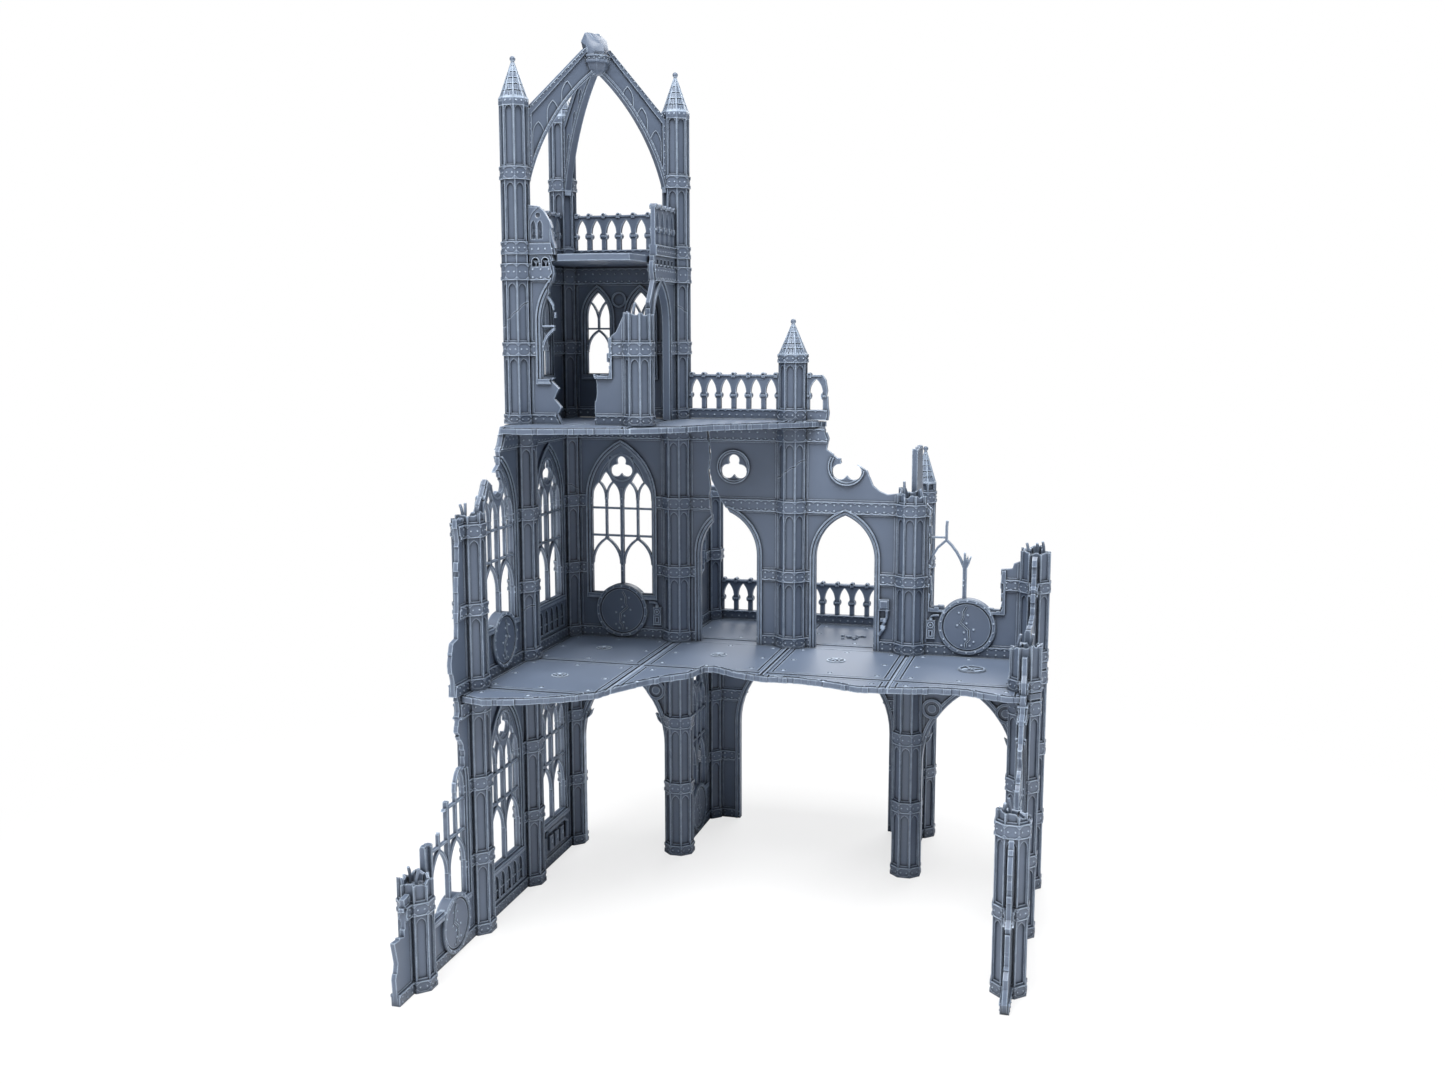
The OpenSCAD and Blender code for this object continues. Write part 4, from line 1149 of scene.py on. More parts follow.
def floors():
    def left_covers(casting, _):
        star_plate(casting, 0.5, -0.5)
        star_plate(casting, 0.5, -1.5)

    def middle_covers(casting, _):
        star_plate(casting, 1.5, -0.5)
        star_plate(casting, 2.47, -0.45, 5.0)

    left_floor("floor_one_left", FLOOR_ONE, -1.78, -2,
               [(BESIDE, -2.25), (0.21, -2.31), (0.48, -2.22), (0.73, -2.09), (0.96, -1.9)], 71,
               [(0, -1), (0, -2), (0, -3)], [(0, 0), (0, -1), (0, -2), (1, 0)], left_covers)
    broken_floor("floor_one_middle", FLOOR_ONE, [(3.0, -1.2), (3.0, MARGIN), (1.0, MARGIN), (1.0, -1.76)],
                 [(1.0, -1.76), (1.14, -1.49), (1.29, -1.28), (1.43, -1.14), (1.49, -0.9), (1.56, -0.88),
                  (1.8, -1.02), (2.02, -1.1), (2.29, -1.08), (2.54, -1.14), (2.78, -1.23), (3.0, -1.2)], 72,
                 [(1, -1), (2, -1), (1, -2), (2, -2)], (), (1, 3), middle_covers)
    broken_floor("floor_one_right", FLOOR_ONE,
                 [(4 - BESIDE, -1 - SEAT), (4 + BEYOND, -1 - SEAT), (4 + BEYOND, BEYOND), (3.0, BEYOND),
                  (3.0, -1.2)],
                 [(3.0, -1.2), (3.15, -1.18), (3.36, -1.12), (3.58, -1.12), (3.74, -1.19), (3.88, -1.24),
                  (4 - BESIDE, -1.23)], 73,
                 [(3, -1), (3, -2)], [(3, 0), (4, 0), (4, -1)], (3, 5),
                 lambda casting, _: vent(casting, 3.56, -0.5))

    sheet = Sheet(bay_rect(1 - MARGIN, MARGIN + 0.002, 3 + MARGIN, 1 + MARGIN), FLOOR_T - 0.4)
    for gx in (1, 2):
        plate(sheet, gx, 0.1, 0.9)
    cast("porch_roof", flat(0, 0, FLOOR_ONE - FLOOR_T), sheet,
         lambda casting, _: rubble(casting, 2.42 * BAY, 0.42 * BAY, FLOOR_ONE, 81), 0.0)

    left_floor("floor_two_left", FLOOR_TWO, -1.24, -1,
               [(BESIDE, -1.45), (0.22, -1.5), (0.48, -1.41), (0.77, -1.32)], 74,
               [(0, -1), (0, -2)], [(0, 0), (0, -1), (1, 0)], underside=0.1)
    broken_floor("floor_two_right", FLOOR_TWO, [(2.28, BEYOND), (1.0, BEYOND), (1.0, -1.24)],
                 [(1.0, -1.24), (1.06, -1.21), (1.31, -1.02), (1.53, -0.68), (1.8, -0.46), (2.07, -0.2),
                  (2.26, 0.0), (2.28, BEYOND)], 75,
                 [(1, -1), (2, -1)], [(1, 0), (2, 0)], (1, 5), underside=0.1)


# ---------------------------------------------------------------- railings, spires


def rail_sheet(run, count, high=0.37 * BAY):
    """Railing: studded top rail, pointed openings between ringed balusters, riveted base."""
    base, head = 0.085 * BAY, high - 0.034 * BAY
    sheet = Sheet(rect(0, 0, run, high), 1.2)
    pitch = run / count
    light, baluster, edge = 0.345 * pitch, 0.255 * pitch, 0.155 * pitch
    ring = base + 0.45 * (head - base)
    posts = [i * pitch for i in range(count + 1)]
    for u in posts[:-1]:
        u += 0.5 * pitch
        sheet.cut(rect(u - light, base, u + light, ring + 0.5))
        sheet.cut(pointed(u, light, ring, ring + 1.6, head, 0, 8))
    for u in posts:
        sheet.fill(circle(u, ring, baluster, 14), 1.75)
        sheet.paint(rect(u - baluster, ring - BAND_EDGE, u + baluster, ring + BAND_EDGE), 1.75)
        for groove in (u - edge, u + edge):
            sheet.paint(ribbon([(groove, base), (groove, ring)], 0.3), 1.0)
    sheet.paint(rect(0, high - 0.9, run, high), 1.75)
    sheet.paint(rect(0, 0, run, base), BAND - 0.2)
    for z in (base - BAND_EDGE, 0.0):
        sheet.paint(rect(0, z, run, z + BAND_EDGE), BAND + 0.2)
    scallop = 0.5 * pitch
    for i in range(2 * count + 1):
        u = i * scallop
        sheet.paint([(u - 1.0, base - 0.5), (u, base - 1.35), (u + 1.0, base - 0.5)], BAND + 0.2)
        if i < 2 * count:
            sheet.stud(u + 0.5 * scallop, base * 0.42, 0.42, 0.4)
    for u in posts:
        u = min(max(u, 1.5), run - 1.5)
        sheet.add(circle(u, high, 1.3, 14), 1.95)
        sheet.paint(circle(u, high, 0.7, 12), 1.6)
        sheet.paint(rect(u - 1.0, high - 1.5, u + 1.0, high - 0.3), 1.95)
    sheet.keep(rect(0, 0, run, high + 2))
    return sheet


SPIRE_BALL = 1.5
SPIRE_TIP = 0.97
COURSES = 6
TILE = 2.2
TILE_GAP = 0.035


def shingle_course(casting, feet, tops, outward, shifted, dice):
    """One row of shingles on one face of a spire, between two pairs of corners."""
    tiles = max(1, round((feet[0] - feet[1]).length / TILE))
    offset = 0.5 if shifted and tiles > 1 else 0.0
    joints = [(i + offset) / tiles for i in range(tiles + 1)]
    cuts = sorted({0.0, 1.0} | {joint for joint in joints if 0 < joint < 1})
    for s0, s1 in zip(cuts[:-1], cuts[1:]):
        lift = dice.uniform(-0.05, 0.08)
        low_a, low_b = (feet[0].lerp(feet[1], s) for s in (s0 + TILE_GAP, s1 - TILE_GAP))
        top_a, top_b = (tops[0].lerp(tops[1], s) for s in (s0 + TILE_GAP, s1 - TILE_GAP))
        inward = [v - outward * 1.3 for v in (low_a, low_b, top_b, top_a)]
        casting.hull_ring([inward, [low_a + outward * lift, low_b + outward * lift, top_b, top_a]])


def spire(casting, x, y, z, across, high, seed, upto=1.0):
    """Pointed octagonal cap in courses of shingles, with ridge rolls and a ball."""
    dice = random.Random(seed)
    apothem = across / 2

    def ring(t, grow=0.0):
        return octagon_ring(x, y, z + t * high, (apothem - 0.9) * (1 - t) + grow)

    foot = ((-0.8, 0.2), (-0.3, 0), (0.2, 0))
    core = [octagon_ring(x, y, z + lift, apothem - inset) for lift, inset in foot]
    core += [ring(0.03, -1.0), ring(min(upto, 0.75), -0.7), ring(min(upto, SPIRE_TIP) + 0.01)]
    casting.hull_ring(core)
    for k in range(8):
        corners = (k, (k + 1) % 8)
        for course in range(COURSES):
            t0, t1 = course / COURSES + 0.012, (course + 1) / COURSES - 0.012
            if t1 > upto:
                continue
            feet = [ring(t0, 0.34)[i] for i in corners]
            tops = [ring(t1, 0.2)[i] for i in corners]
            outward = ((feet[0] + feet[1]) / 2 - Vector((x, y, z + t0 * high))).normalized()
            shingle_course(casting, feet, tops, outward, course % 2, dice)
        foot, tip = ring(0.0, 0.3)[k], ring(min(upto, SPIRE_TIP), 0.2)[k]
        casting.tube([foot, foot.lerp(tip, 0.5), tip], [0.42, 0.36, 0.28], 6)
    if upto >= 1.0:
        top = z + high + 0.2
        ball = [(SPIRE_BALL * math.sin(math.pi * lat / 8), top - SPIRE_BALL * math.cos(math.pi * lat / 8))
                for lat in range(1, 8)]
        casting.hull_ring([[(u, v, level) for u, v in circle(x, y, reach, 12)] for reach, level in ball])


def balcony():
    cast("balcony_rail", along_back(BAY + EDGE, BAY, FLOOR_ONE), rail_sheet(2 * BAY - 2 * EDGE, 13))

    casting = Casting()
    across = COLUMN - 3
    x = 3 * BAY - 1.5
    high = 1.32 * BAY
    octagon_column(casting, x, BAY, FLOOR_ONE, high, across, BANDS[:3])
    spire(casting, x, BAY, FLOOR_ONE + high, across, 0.29 * BAY, 91)
    casting.finish("balcony_corner_post")

    casting = Casting()
    octagon_column(casting, BAY, BAY, FLOOR_ONE, 1.3 * BAY, COLUMN, BANDS[:3], (1.2, 0.07), 92)
    casting.sheet(torn(plain_wall(0.5, END, 1.0), 0.62, END, [
        (END, 0.86), (0.8, 0.8), (0.76, 0.5), (0.68, 0.46), (0.66, 0.2), (0.62, 0)], 93),
        along_porch(BAY, 0, FLOOR_ONE))
    near = MARGIN + 0.002
    casting.sheet(torn(plain_wall(near, 0.9, 1.75), near, 0.8, [
        (0.8, 0), (0.78, 0.3), (0.66, 0.36), (0.68, 0.7), (0.58, 0.85), (0.6, 1.22), (0.5, 1.4), (0.49, 1.68),
        (near, 1.68)], 94), along_porch(3 * BAY, 0, FLOOR_ONE))
    casting.finish("balcony_broken_posts")


# ---------------------------------------------------------------- middle storey


def door_and_rose(at, z, r):
    """Wall with a pointed door and a trefoil light in a round moulded frame above it."""
    sheet = plain_wall(START, END, TOP)
    framed_opening(sheet, 0.455 * BAY, (0.245 * BAY, -1, 0.766 * BAY, 1.126 * BAY), 12)
    for share, level in ((1.0, FRAME_OUT), (0.93, WALL - 0.1), (0.89, FRAME_IN), (0.8, WALL - 0.3)):
        sheet.paint(circle(at * BAY, z * BAY, share * r * BAY, 40), level)
    trefoil(sheet, at * BAY, (z - 0.01) * BAY, r / 0.122)
    return sheet


def lost_window():
    """Low broken wall with the sill and jambs of a lost window and splinters of its tracery."""
    sheet = plain_wall(START, END, 1.4)
    sheet.paint(bay_rect(0.17, 0.36, 0.77, 0.4), FRAME_OUT + 0.2)
    sheet.paint(bay_rect(0.15, 0.36, 0.17, 1.4), FRAME_OUT)
    sheet.paint(bay_rect(0.73, 0.36, 0.77, 0.73), FRAME_OUT)
    torn(sheet, START, END, [
        (END, 0.8), (0.83, 0.78), (0.82, 0.74), (0.73, 0.73), (0.73, 0.4), (0.17, 0.4), (0.17, 1.2),
        (START, 1.25)], 39)
    # an arch in two halves, a transom and a stem
    for path, width in (([(0.15, 0.75), (0.172, 0.81), (0.216, 0.885), (0.286, 0.95)], 1.35),
                        ([(0.286, 0.95), (0.33, 0.908), (0.37, 0.855), (0.402, 0.8), (0.43, 0.735)], 1.35),
                        ([(0.14, 0.972), (0.286, 0.972)], 1.0),
                        ([(0.286, 0.94), (0.286, 1.06), (0.29, 1.11)], 1.4)):
        sheet.add(ribbon(bays(path), width), TRACERY)
    # a mullion ending in prongs
    sheet.add(bays([(0.424, 0.39), (0.456, 0.39), (0.456, 0.72), (0.474, 0.76), (0.493, 0.82), (0.482, 0.825),
                    (0.466, 0.785), (0.462, 0.83), (0.448, 0.795), (0.444, 0.85), (0.43, 0.855), (0.428, 0.8),
                    (0.42, 0.76), (0.424, 0.7)]), MULLION)
    return sheet


def middle_walls():
    cast("middle_left_bay_1", along_side(0, 0, MIDDLE_Z), window_wall(arcade=True))
    top = FULL - 0.003
    sheet = torn(window_wall(high=FULL - 0.2 / BAY), START, END, [
        (END, 1.3), (0.76, 1.44), (0.7, 1.53), (0.58, 1.47), (0.49, 1.41), (0.43, 1.51), (0.54, 1.57),
        (0.46, 1.62), (0.46, 1.72), (0.4, 1.8), (0.36, top)], 35)
    cast_plated("middle_left_bay_2", along_side(0, -BAY, MIDDLE_Z), sheet, 0.47, 0.25, 0.2)
    cast("middle_left_stub", along_side(0, -2 * BAY, MIDDLE_Z), stub(0.45, 1.4, 0.34, [
        (0.34, 0.12), (0.38, 0.25), (0.34, 0.4), (0.26, 0.42), (0.24, 0.7), (0.2, 1.12), (0.23, 1.29),
        (START, 1.29)], 36))

    cast_plated("middle_back_bay_1", along_back(0, 0, MIDDLE_Z), window_wall(), 0.5, 0.235, 0.21, -1,
                lambda casting, place: lock_box(casting, place, 0.82, 0.12, -1))

    sheet = door_and_rose(0.5, 1.51, 0.142)
    crack = jagged(bays([
        (0.3, 0.95), (0.32, 1.02), (0.3, 1.12), (0.285, 1.24), (0.295, 1.33), (0.28, 1.45), (0.29, 1.6),
        (0.28, 1.72), (0.268, 1.9), (0.274, 1.9), (0.288, 1.72), (0.298, 1.6), (0.288, 1.45), (0.31, 1.38),
        (0.365, 1.265), (0.41, 1.2), (0.46, 1.13), (0.46, 1.0)]), 37, 1.6, 0.3)
    sheet.paint(shrink(crack, -1.0), WALL * 0.75)
    sheet.cut(crack)
    cast("middle_back_bay_2", along_back(BAY, 0, MIDDLE_Z), sheet)

    sheet = torn(door_and_rose(0.46, 1.53, 0.155), START, END, [
        (END, 1.32), (0.8, 1.31), (0.735, 1.335), (0.68, 1.38), (0.63, 1.5), (0.55, 1.55), (0.5, 1.53),
        (0.44, 1.6), (0.38, 1.6), (0.29, 1.67), (0.31, 1.76), (0.27, TOP)], 38)
    cast("middle_back_bay_3", along_back(2 * BAY, 0, MIDDLE_Z), sheet, control_box)
    cast_plated("middle_back_bay_4", along_back(3 * BAY, 0, MIDDLE_Z), lost_window(), 0.47, 0.245, 0.21, 1,
                lambda casting, place: lock_box(casting, place, 0.175, 0.13, 1))
    cast("middle_right_bay_1", along_side(4 * BAY, 0, MIDDLE_Z), stub(END, 1.0, END, [
        (END, 0.42), (0.8, 0.4), (0.6, 0.39), (0.36, 0.4), (0.27, 0.42), (0.26, 0.62), (0.2, 0.64),
        (0.19, 0.84), (START, 0.86)], 40))


def middle_columns():
    columns("middle_columns", [(0, 0), (0, -1), (1, 0), (2, 0)], MIDDLE_Z, WALL_H - 0.1,
            pegs=[(0, 0), (2, 0)], cracks={(2, 0): (1.5, 0.5), (0, 0): (1.35, -0.4), (0, -1): (0.4, 0.3)})
    snapped_column("middle_broken_column_left", 0, -2, MIDDLE_Z, 1.3, 0.05, 43,
                   [(-4, 2), (0, -3), (4, 1)], with_peg=True)
    snapped_column("middle_broken_column_back", 3, 0, MIDDLE_Z, 1.33, 0.06, 44, [(-4, -1)])
    snapped_column("middle_broken_column_corner", 4, 0, MIDDLE_Z, 0.89, 0.06, 45,
                   [(-4, -2), (1, 0), (4, 2)], with_peg=True)
    near = START + 0.003
    sliver = torn(plain_wall(START + 0.2 / BAY, 0.3, 0.4), near, 0.2, [
        (0.2, 0), (0.2, 0.09), (0.165, 0.14), (0.16, 0.27), (near, 0.27)], 47)
    snapped_column("middle_broken_column_right", 4, -1, MIDDLE_Z, 0.33, 0.05, 46, [(-4, 0), (2, 3)],
                   beside=(sliver, along_side(4 * BAY, -BAY, MIDDLE_Z)))


# ---------------------------------------------------------------- tower, terrace

TOWER_START = PILLAR_EDGE / BAY
TOWER_END = 1 - TOWER_START
TOWER_TOP = TOWER_WALL_H / BAY
TOWER_WINDOW = (0.1, 0.372, 0.842, 1.051)
FORK_ARM = ((0.16, 0.07), (0.42, 0.14), (0.85, 0.215))
VENT_HALF = 0.029
VENT_SHAPE = tuple(size * BAY for size in (VENT_HALF, 1.226, 1.262, 1.294))


def tower_wall(u0=TOWER_START, u1=TOWER_END, top=TOWER_TOP):
    return plain_wall(u0, u1, top, TOWER_BANDS)


def small_window(sheet, at, shape=TOWER_WINDOW):
    """Tower window: a transom, one light below it and two with an eyelet above it."""
    half, sill, spring, apex = (size * BAY for size in shape)
    u = at * BAY
    rise = apex - sill
    framed_window(sheet, u, (half, sill, spring, apex))
    transom = sill + 0.554 * rise
    split = sill + 0.70 * rise
    sheet.fill(rect(u - half, transom - 0.5, u + half, transom + 0.5), MULLION)
    sheet.fill(ribbon(arch_line(u, half, sill + 0.29 * rise, sill + 0.53 * rise), 1.2), TRACERY)
    sheet.fill(rect(u - 0.5, transom, u + 0.5, split + 0.8), TRACERY)
    for side in (-1, 1):
        arm = [(u + side * out * half, split + up * rise) for out, up in FORK_ARM]
        sheet.fill(ribbon([(u, split - 0.5)] + arm, 1.05), TRACERY)


def pointed_vent(sheet, at):
    """Small pointed opening under the crown, with a stem that forks."""
    u = at * BAY
    sheet.paint(pointed(u, *VENT_SHAPE, 0.4, 7), FRAME_IN)
    sheet.cut(pointed(u, *VENT_SHAPE, 0, 7))
    sheet.fill(ribbon(bays([(at, 1.226), (at, 1.256)]), 0.7), TRACERY)
    sheet.fill(circle(u, 1.262 * BAY, 0.75, 10), TRACERY)
    for side in (-1, 1):
        sheet.fill(ribbon(bays([(at, 1.258), (at + side * VENT_HALF, 1.276)]), 0.7), TRACERY)


def tower_walls():
    sheet = tower_wall(u1=0.45)
    small_window(sheet, 0.32, (0.11, 0.364, 0.8, 1.09))
    for at in (0.168, 0.25):
        pointed_vent(sheet, at)
    torn(sheet, TOWER_START, 0.36, [
        (0.36, 0), (0.33, 0.08), (0.36, 0.13), (0.3, 0.2), (0.34, 0.28), (0.28, 0.34), (0.34, 0.4),
        (0.34, 0.66), (0.31, 0.72), (0.31, 0.94), (0.27, 1.06), (0.32, 1.17), (0.3, TOWER_TOP)], 51)
    cast("tower_front_left_wall", along_back(0, -BAY, TOWER_Z), sheet)

    sheet = tower_wall(0.55, top=0.95)
    sheet.paint(bay_rect(0.6, 0.36, 0.79, 0.393), FRAME_OUT + 0.2)
    sheet.paint(bay_rect(0.755, 0.36, 0.79, 0.7), FRAME_OUT)
    torn(sheet, 0.645, TOWER_END, [
        (TOWER_END, 0.86), (0.85, 0.78), (0.82, 0.72), (0.755, 0.67), (0.755, 0.393), (0.63, 0.393),
        (0.66, 0.25), (0.64, 0.12), (0.645, 0)], 52)
    cast("tower_front_right_wall", along_back(0, -BAY, TOWER_Z), sheet)

    sheet = tower_wall()
    small_window(sheet, 0.5)
    cast("tower_left_wall", along_side(0, 0, TOWER_Z), sheet)

    sheet = tower_wall()
    for at in (0.31, 0.69):
        small_window(sheet, at)
    for radius, level in ((0.065, BAND), (0.05, FIELD)):
        sheet.paint(circle(0.5 * BAY, 0.99 * BAY, radius * BAY, 24), level)
    cast("tower_back_wall", along_back(0, 0, TOWER_Z), sheet)

    sheet = tower_wall()
    arched(sheet, 0.5, 0.2, 0.76, 1.1, 0.025, 10)
    for slot in range(5):
        u = 0.17 + 0.095 * slot
        sheet.cut(bay_rect(u, 1.232, u + 0.05, 1.29))
    torn(sheet, TOWER_START, 0.82, [
        (0.82, 0), (0.79, 0.3), (0.8, 0.62), (0.76, 0.8), (0.77, 0.95), (0.7, 1.05), (0.65, 1.13),
        (0.68, 1.22), (0.66, TOWER_TOP)], 56)
    cast("tower_right_wall", along_side(BAY, 0, TOWER_Z), sheet)


def tower_frame():
    columns("tower_pillars", [(0, -1), (0, 0), (1, 0)], TOWER_Z, PILLAR_H - 0.1, PILLAR, TOWER_BANDS,
            pegs=[(0, -1), (0, 0)], cracks={(0, -1): (0.85, 0.7), (1, 0): (0.95, -0.5)})
    snapped_column("tower_broken_pillar", 1, -1, TOWER_Z, 0.86, 0.04, 53, [(-2, -2)], PILLAR, TOWER_BANDS)

    inset = (BAND_LIP + 0.1) / BAY
    front = [(0.345, inset - 1), (0.36, -1.05), (0.5, -1.08), (0.75, -1.06), (0.94, -1.02),
             (1 - inset, -0.95)]
    back = [(1 - inset, -inset), (inset, -inset), (inset, inset - 1)]
    sheet = Sheet(bays(back) + jagged(bays(front), 76, 2.0, 0.25), FLOOR_T)
    sheet.paint(bay_rect(0.12, -0.88, 0.88, -0.12), FLOOR_T - 0.35)
    sheet.paint(bay_rect(0.13, -0.87, 0.87, -0.13), FLOOR_T)
    for gx, gy in ((0, -1), (0, 0), (1, 0)):
        sheet.cut([(p.x, p.y) for p in octagon_ring(gx * BAY, gy * BAY, 0, PILLAR / 2 + 0.1)])
    cast("tower_floor", flat(0, 0, TOWER_FLOOR - FLOOR_T), sheet, underside=0.1)


def terrace():
    cast("terrace_rail", along_back(BAY + PILLAR_EDGE, 0, TOWER_Z), rail_sheet(BAY - PILLAR_EDGE - EDGE, 6))

    casting = Casting()
    x = 2 * BAY
    high = 0.54 * BAY
    octagon_column(casting, x, 0, TOWER_Z, high, COLUMN * 0.96, [(0, 0.085), (0.47, 0.54)])
    spire(casting, x, 0, TOWER_Z + high, COLUMN * 0.98, 0.26 * BAY, 95)
    peg(casting, x, 0, TOWER_Z)
    casting.finish("terrace_post")

    sheet = torn(rail_sheet(0.32 * BAY, 2), 0.003, 0.18, [
        (0.18, 0), (0.19, 0.06), (0.18, 0.12), (0.175, 0.24), (0.16, 0.33), (0.12, 0.385), (0.003, 0.4)], 54)
    cast("terrace_broken_rail", along_back(2 * BAY + EDGE, 0, TOWER_Z), sheet)


# ---------------------------------------------------------------- belfry crown

CROWN_SHAFT = 1.13 * BAY
COLLAR_H = 4.0

# Centre and radius of the arch under a rib, and its far end at the boss, in bays
RIB_CENTRE = (1.715, 0.137)
RIB_RADIUS = 1.656
RIB_RIVETS = 15
BOSS_HALF = (box_mm("crown_boss")[1].x - box_mm("crown_boss")[0].x) / 2
RIB_END = math.sqrt(0.5) - (BOSS_HALF + 0.1) / BAY

# Height and share of the width of the funnel and the drum under the stone
BOSS_PROFILE = ((-6.4, 0.12), (-5.9, 0.36), (-4.9, 0.55), (-3.6, 0.7), (-2.0, 0.82), (-0.6, 0.87),
                (-0.3, 0.97), (0.0, 1.0), (0.9, 1.0), (1.2, 0.94), (2.3, 0.94), (2.6, 1.0), (3.3, 1.0),
                (3.6, 0.92))


def stud_on(casting, spot, out, side, r):
    """One rivet head at a spot on an upright face that looks outwards."""
    casting.dome(0, 0, 0, r, 0.4, lambda u, v, d: spot + side * u + Vector((0, 0, v)) + out * d)


def crown_pillar(casting, gx, gy, seed, upto=1.0):
    """Pillar with a riveted collar and a pointed cap, on a peg."""
    x, y = gx * BAY, gy * BAY
    octagon_column(casting, x, y, CROWN_Z, CROWN_SHAFT, CROWN, CROWN_BANDS, seed=seed)
    z = CROWN_Z + CROWN_SHAFT
    apothem = CROWN / 2 + 0.15
    casting.hull_ring([octagon_ring(x, y, z + lift, apothem - inset) for lift, inset in (
        (-0.4, 0.25), (0.5, 0), (3.4, 0), (COLLAR_H, 0.35))])
    for k in range(16):
        angle = 2 * math.pi * (k + 0.5) / 16
        face = round(angle / (math.pi / 4)) * math.pi / 4
        reach = apothem / math.cos(angle - face)
        spot = Vector((x + reach * math.cos(angle), y + reach * math.sin(angle), z + COLLAR_H / 2))
        out = Vector((math.cos(face), math.sin(face), 0))
        stud_on(casting, spot, out, Vector((-out.y, out.x, 0)), 0.5)
    spire(casting, x, y, z + COLLAR_H, CROWN - 0.3, 0.285 * BAY, seed, upto)
    peg(casting, x, y, CROWN_Z)


def rib_sheet():
    """Web between a straight top rail and a riveted arch, with three blind arches on each side."""
    near = CROWN_EDGE / BAY
    far = RIB_END
    top = 1.012 + far
    centre_u, centre_z = RIB_CENTRE

    def arc(radius):
        return bays(circle(centre_u, centre_z, radius, 220))

    sheet = Sheet(bays([(near, 0.45), (0.69, 1.36), (0.69, top), (far, top), (0.125, 1.137), (0.125, 1.12),
                        (near, 1.12)]), 2.2)
    sheet.paint(bays([(near + 0.028, 0.4), (0.7, 1.3), (0.7, top + 0.063), (near + 0.028, 1.08)]), 1.35)
    sheet.paint(arc(RIB_RADIUS + 0.03), 2.2)
    for inset, level in ((0.0, 2.5), (0.012, 2.2)):
        rail = [(0.1, 1.112 - inset), (far + 0.05, top + 0.05 - inset)]
        sheet.paint(ribbon(bays(rail), 0.7), level)
    # three blind arches standing on the curved rib
    for middle, apex in ((0.195, 1.02), (0.32, 1.19), (0.445, 1.345)):
        shape = (0.046 * BAY, (middle + 0.155) * BAY, (apex - 0.1) * BAY, apex * BAY)
        for grow, level in ((0.5, 1.55), (0, 1.15)):
            sheet.paint(pointed(middle * BAY, *shape, grow, 8), level)
    for grow, level in ((0.03, 2.2), (0.014, 1.9)):
        sheet.paint(arc(RIB_RADIUS + grow), level)
    sheet.cut(arc(RIB_RADIUS))
    for i in range(RIB_RIVETS):
        t = (i + 0.5) / RIB_RIVETS
        sheet.stud((0.13 + t * 0.46) * BAY, (1.128 + t * 0.46) * BAY, 0.42, 0.4)
        angle = math.radians(162 - 26 * t)
        reach = RIB_RADIUS + 0.023
        u, z = centre_u + reach * math.cos(angle), centre_z + reach * math.sin(angle)
        sheet.stud(u * BAY, z * BAY, 0.36, 0.35)
    for i in range(9):
        sheet.stud((near + 0.014) * BAY, (0.66 + 0.05 * i) * BAY, 0.36, 0.35)
    return sheet


def broken_boss(casting, x, y, z):
    """Funnel and drum where the ribs meet, under a rough stump of broken stone."""
    top = box_mm("crown_boss")[1].z
    casting.hull_ring([octagon_ring(x, y, z + lift, BOSS_HALF * size) for lift, size in BOSS_PROFILE])
    drum = octagon_ring(x, y, z + 1.75, BOSS_HALF * 0.95)
    for p, q in zip(drum, drum[1:] + drum[:1]):
        out = ((p + q) / 2 - Vector((x, y, z + 1.75))).normalized()
        for t in (0.25, 0.75):
            stud_on(casting, p.lerp(q, t), out, (q - p).normalized(), 0.45)
    dice = random.Random(64)
    corners = 9
    rings = []
    for t, size in ((0.0, 0.93), (0.1, 1.02), (0.45, 1.1), (0.8, 0.95), (1.0, 0.5)):
        rough = 1 if t > 0 else 0
        ring = []
        for k in range(corners):
            reach = BOSS_HALF * size * (1 + dice.uniform(-0.17, 0.05) * rough)
            u, v = circle(0, 0, reach, corners)[k]
            slope = 0.9 * (u * 0.87 - v * 0.5 + 1.2) * t
            lift = 2.4 + (top - z - 2.4) * t - max(slope, -1.4) + dice.uniform(-1.5, 1.5) * rough
            ring.append(Vector((x + u, y + v, min(z + lift, top))))
        rings.append(ring)
    casting.hull_ring(rings)


def shattered_window():
    """Corner of a window frame that stands on the front edge of the crown."""
    near = CROWN_EDGE / BAY
    sheet = Sheet(bay_rect(near, 0, 0.35, 0.4), 1.3)
    sheet.paint(bays(pointed(0.2, 0.085, 0.09, 0.22, 0.36, 0, 7)), 1.0)
    for u in (0.15, 0.205):
        sheet.cut(bays(pointed(u, 0.02, 0.12, 0.22, 0.26, 0, 5)))
    sheet.cut(circle(0.19 * BAY, 0.3 * BAY, 0.02 * BAY, 12))
    sheet.paint(bay_rect(near, 0, 0.35, 0.085), BAND)
    for i in range(4):
        sheet.stud((near + 0.035 + 0.055 * i) * BAY, 0.042 * BAY, 0.5, 0.4)
    return torn(sheet, near, 0.33, [
        (0.33, 0), (0.31, 0.12), (0.29, 0.25), (0.24, 0.33), (0.19, 0.37), (near, 0.38)], 55)


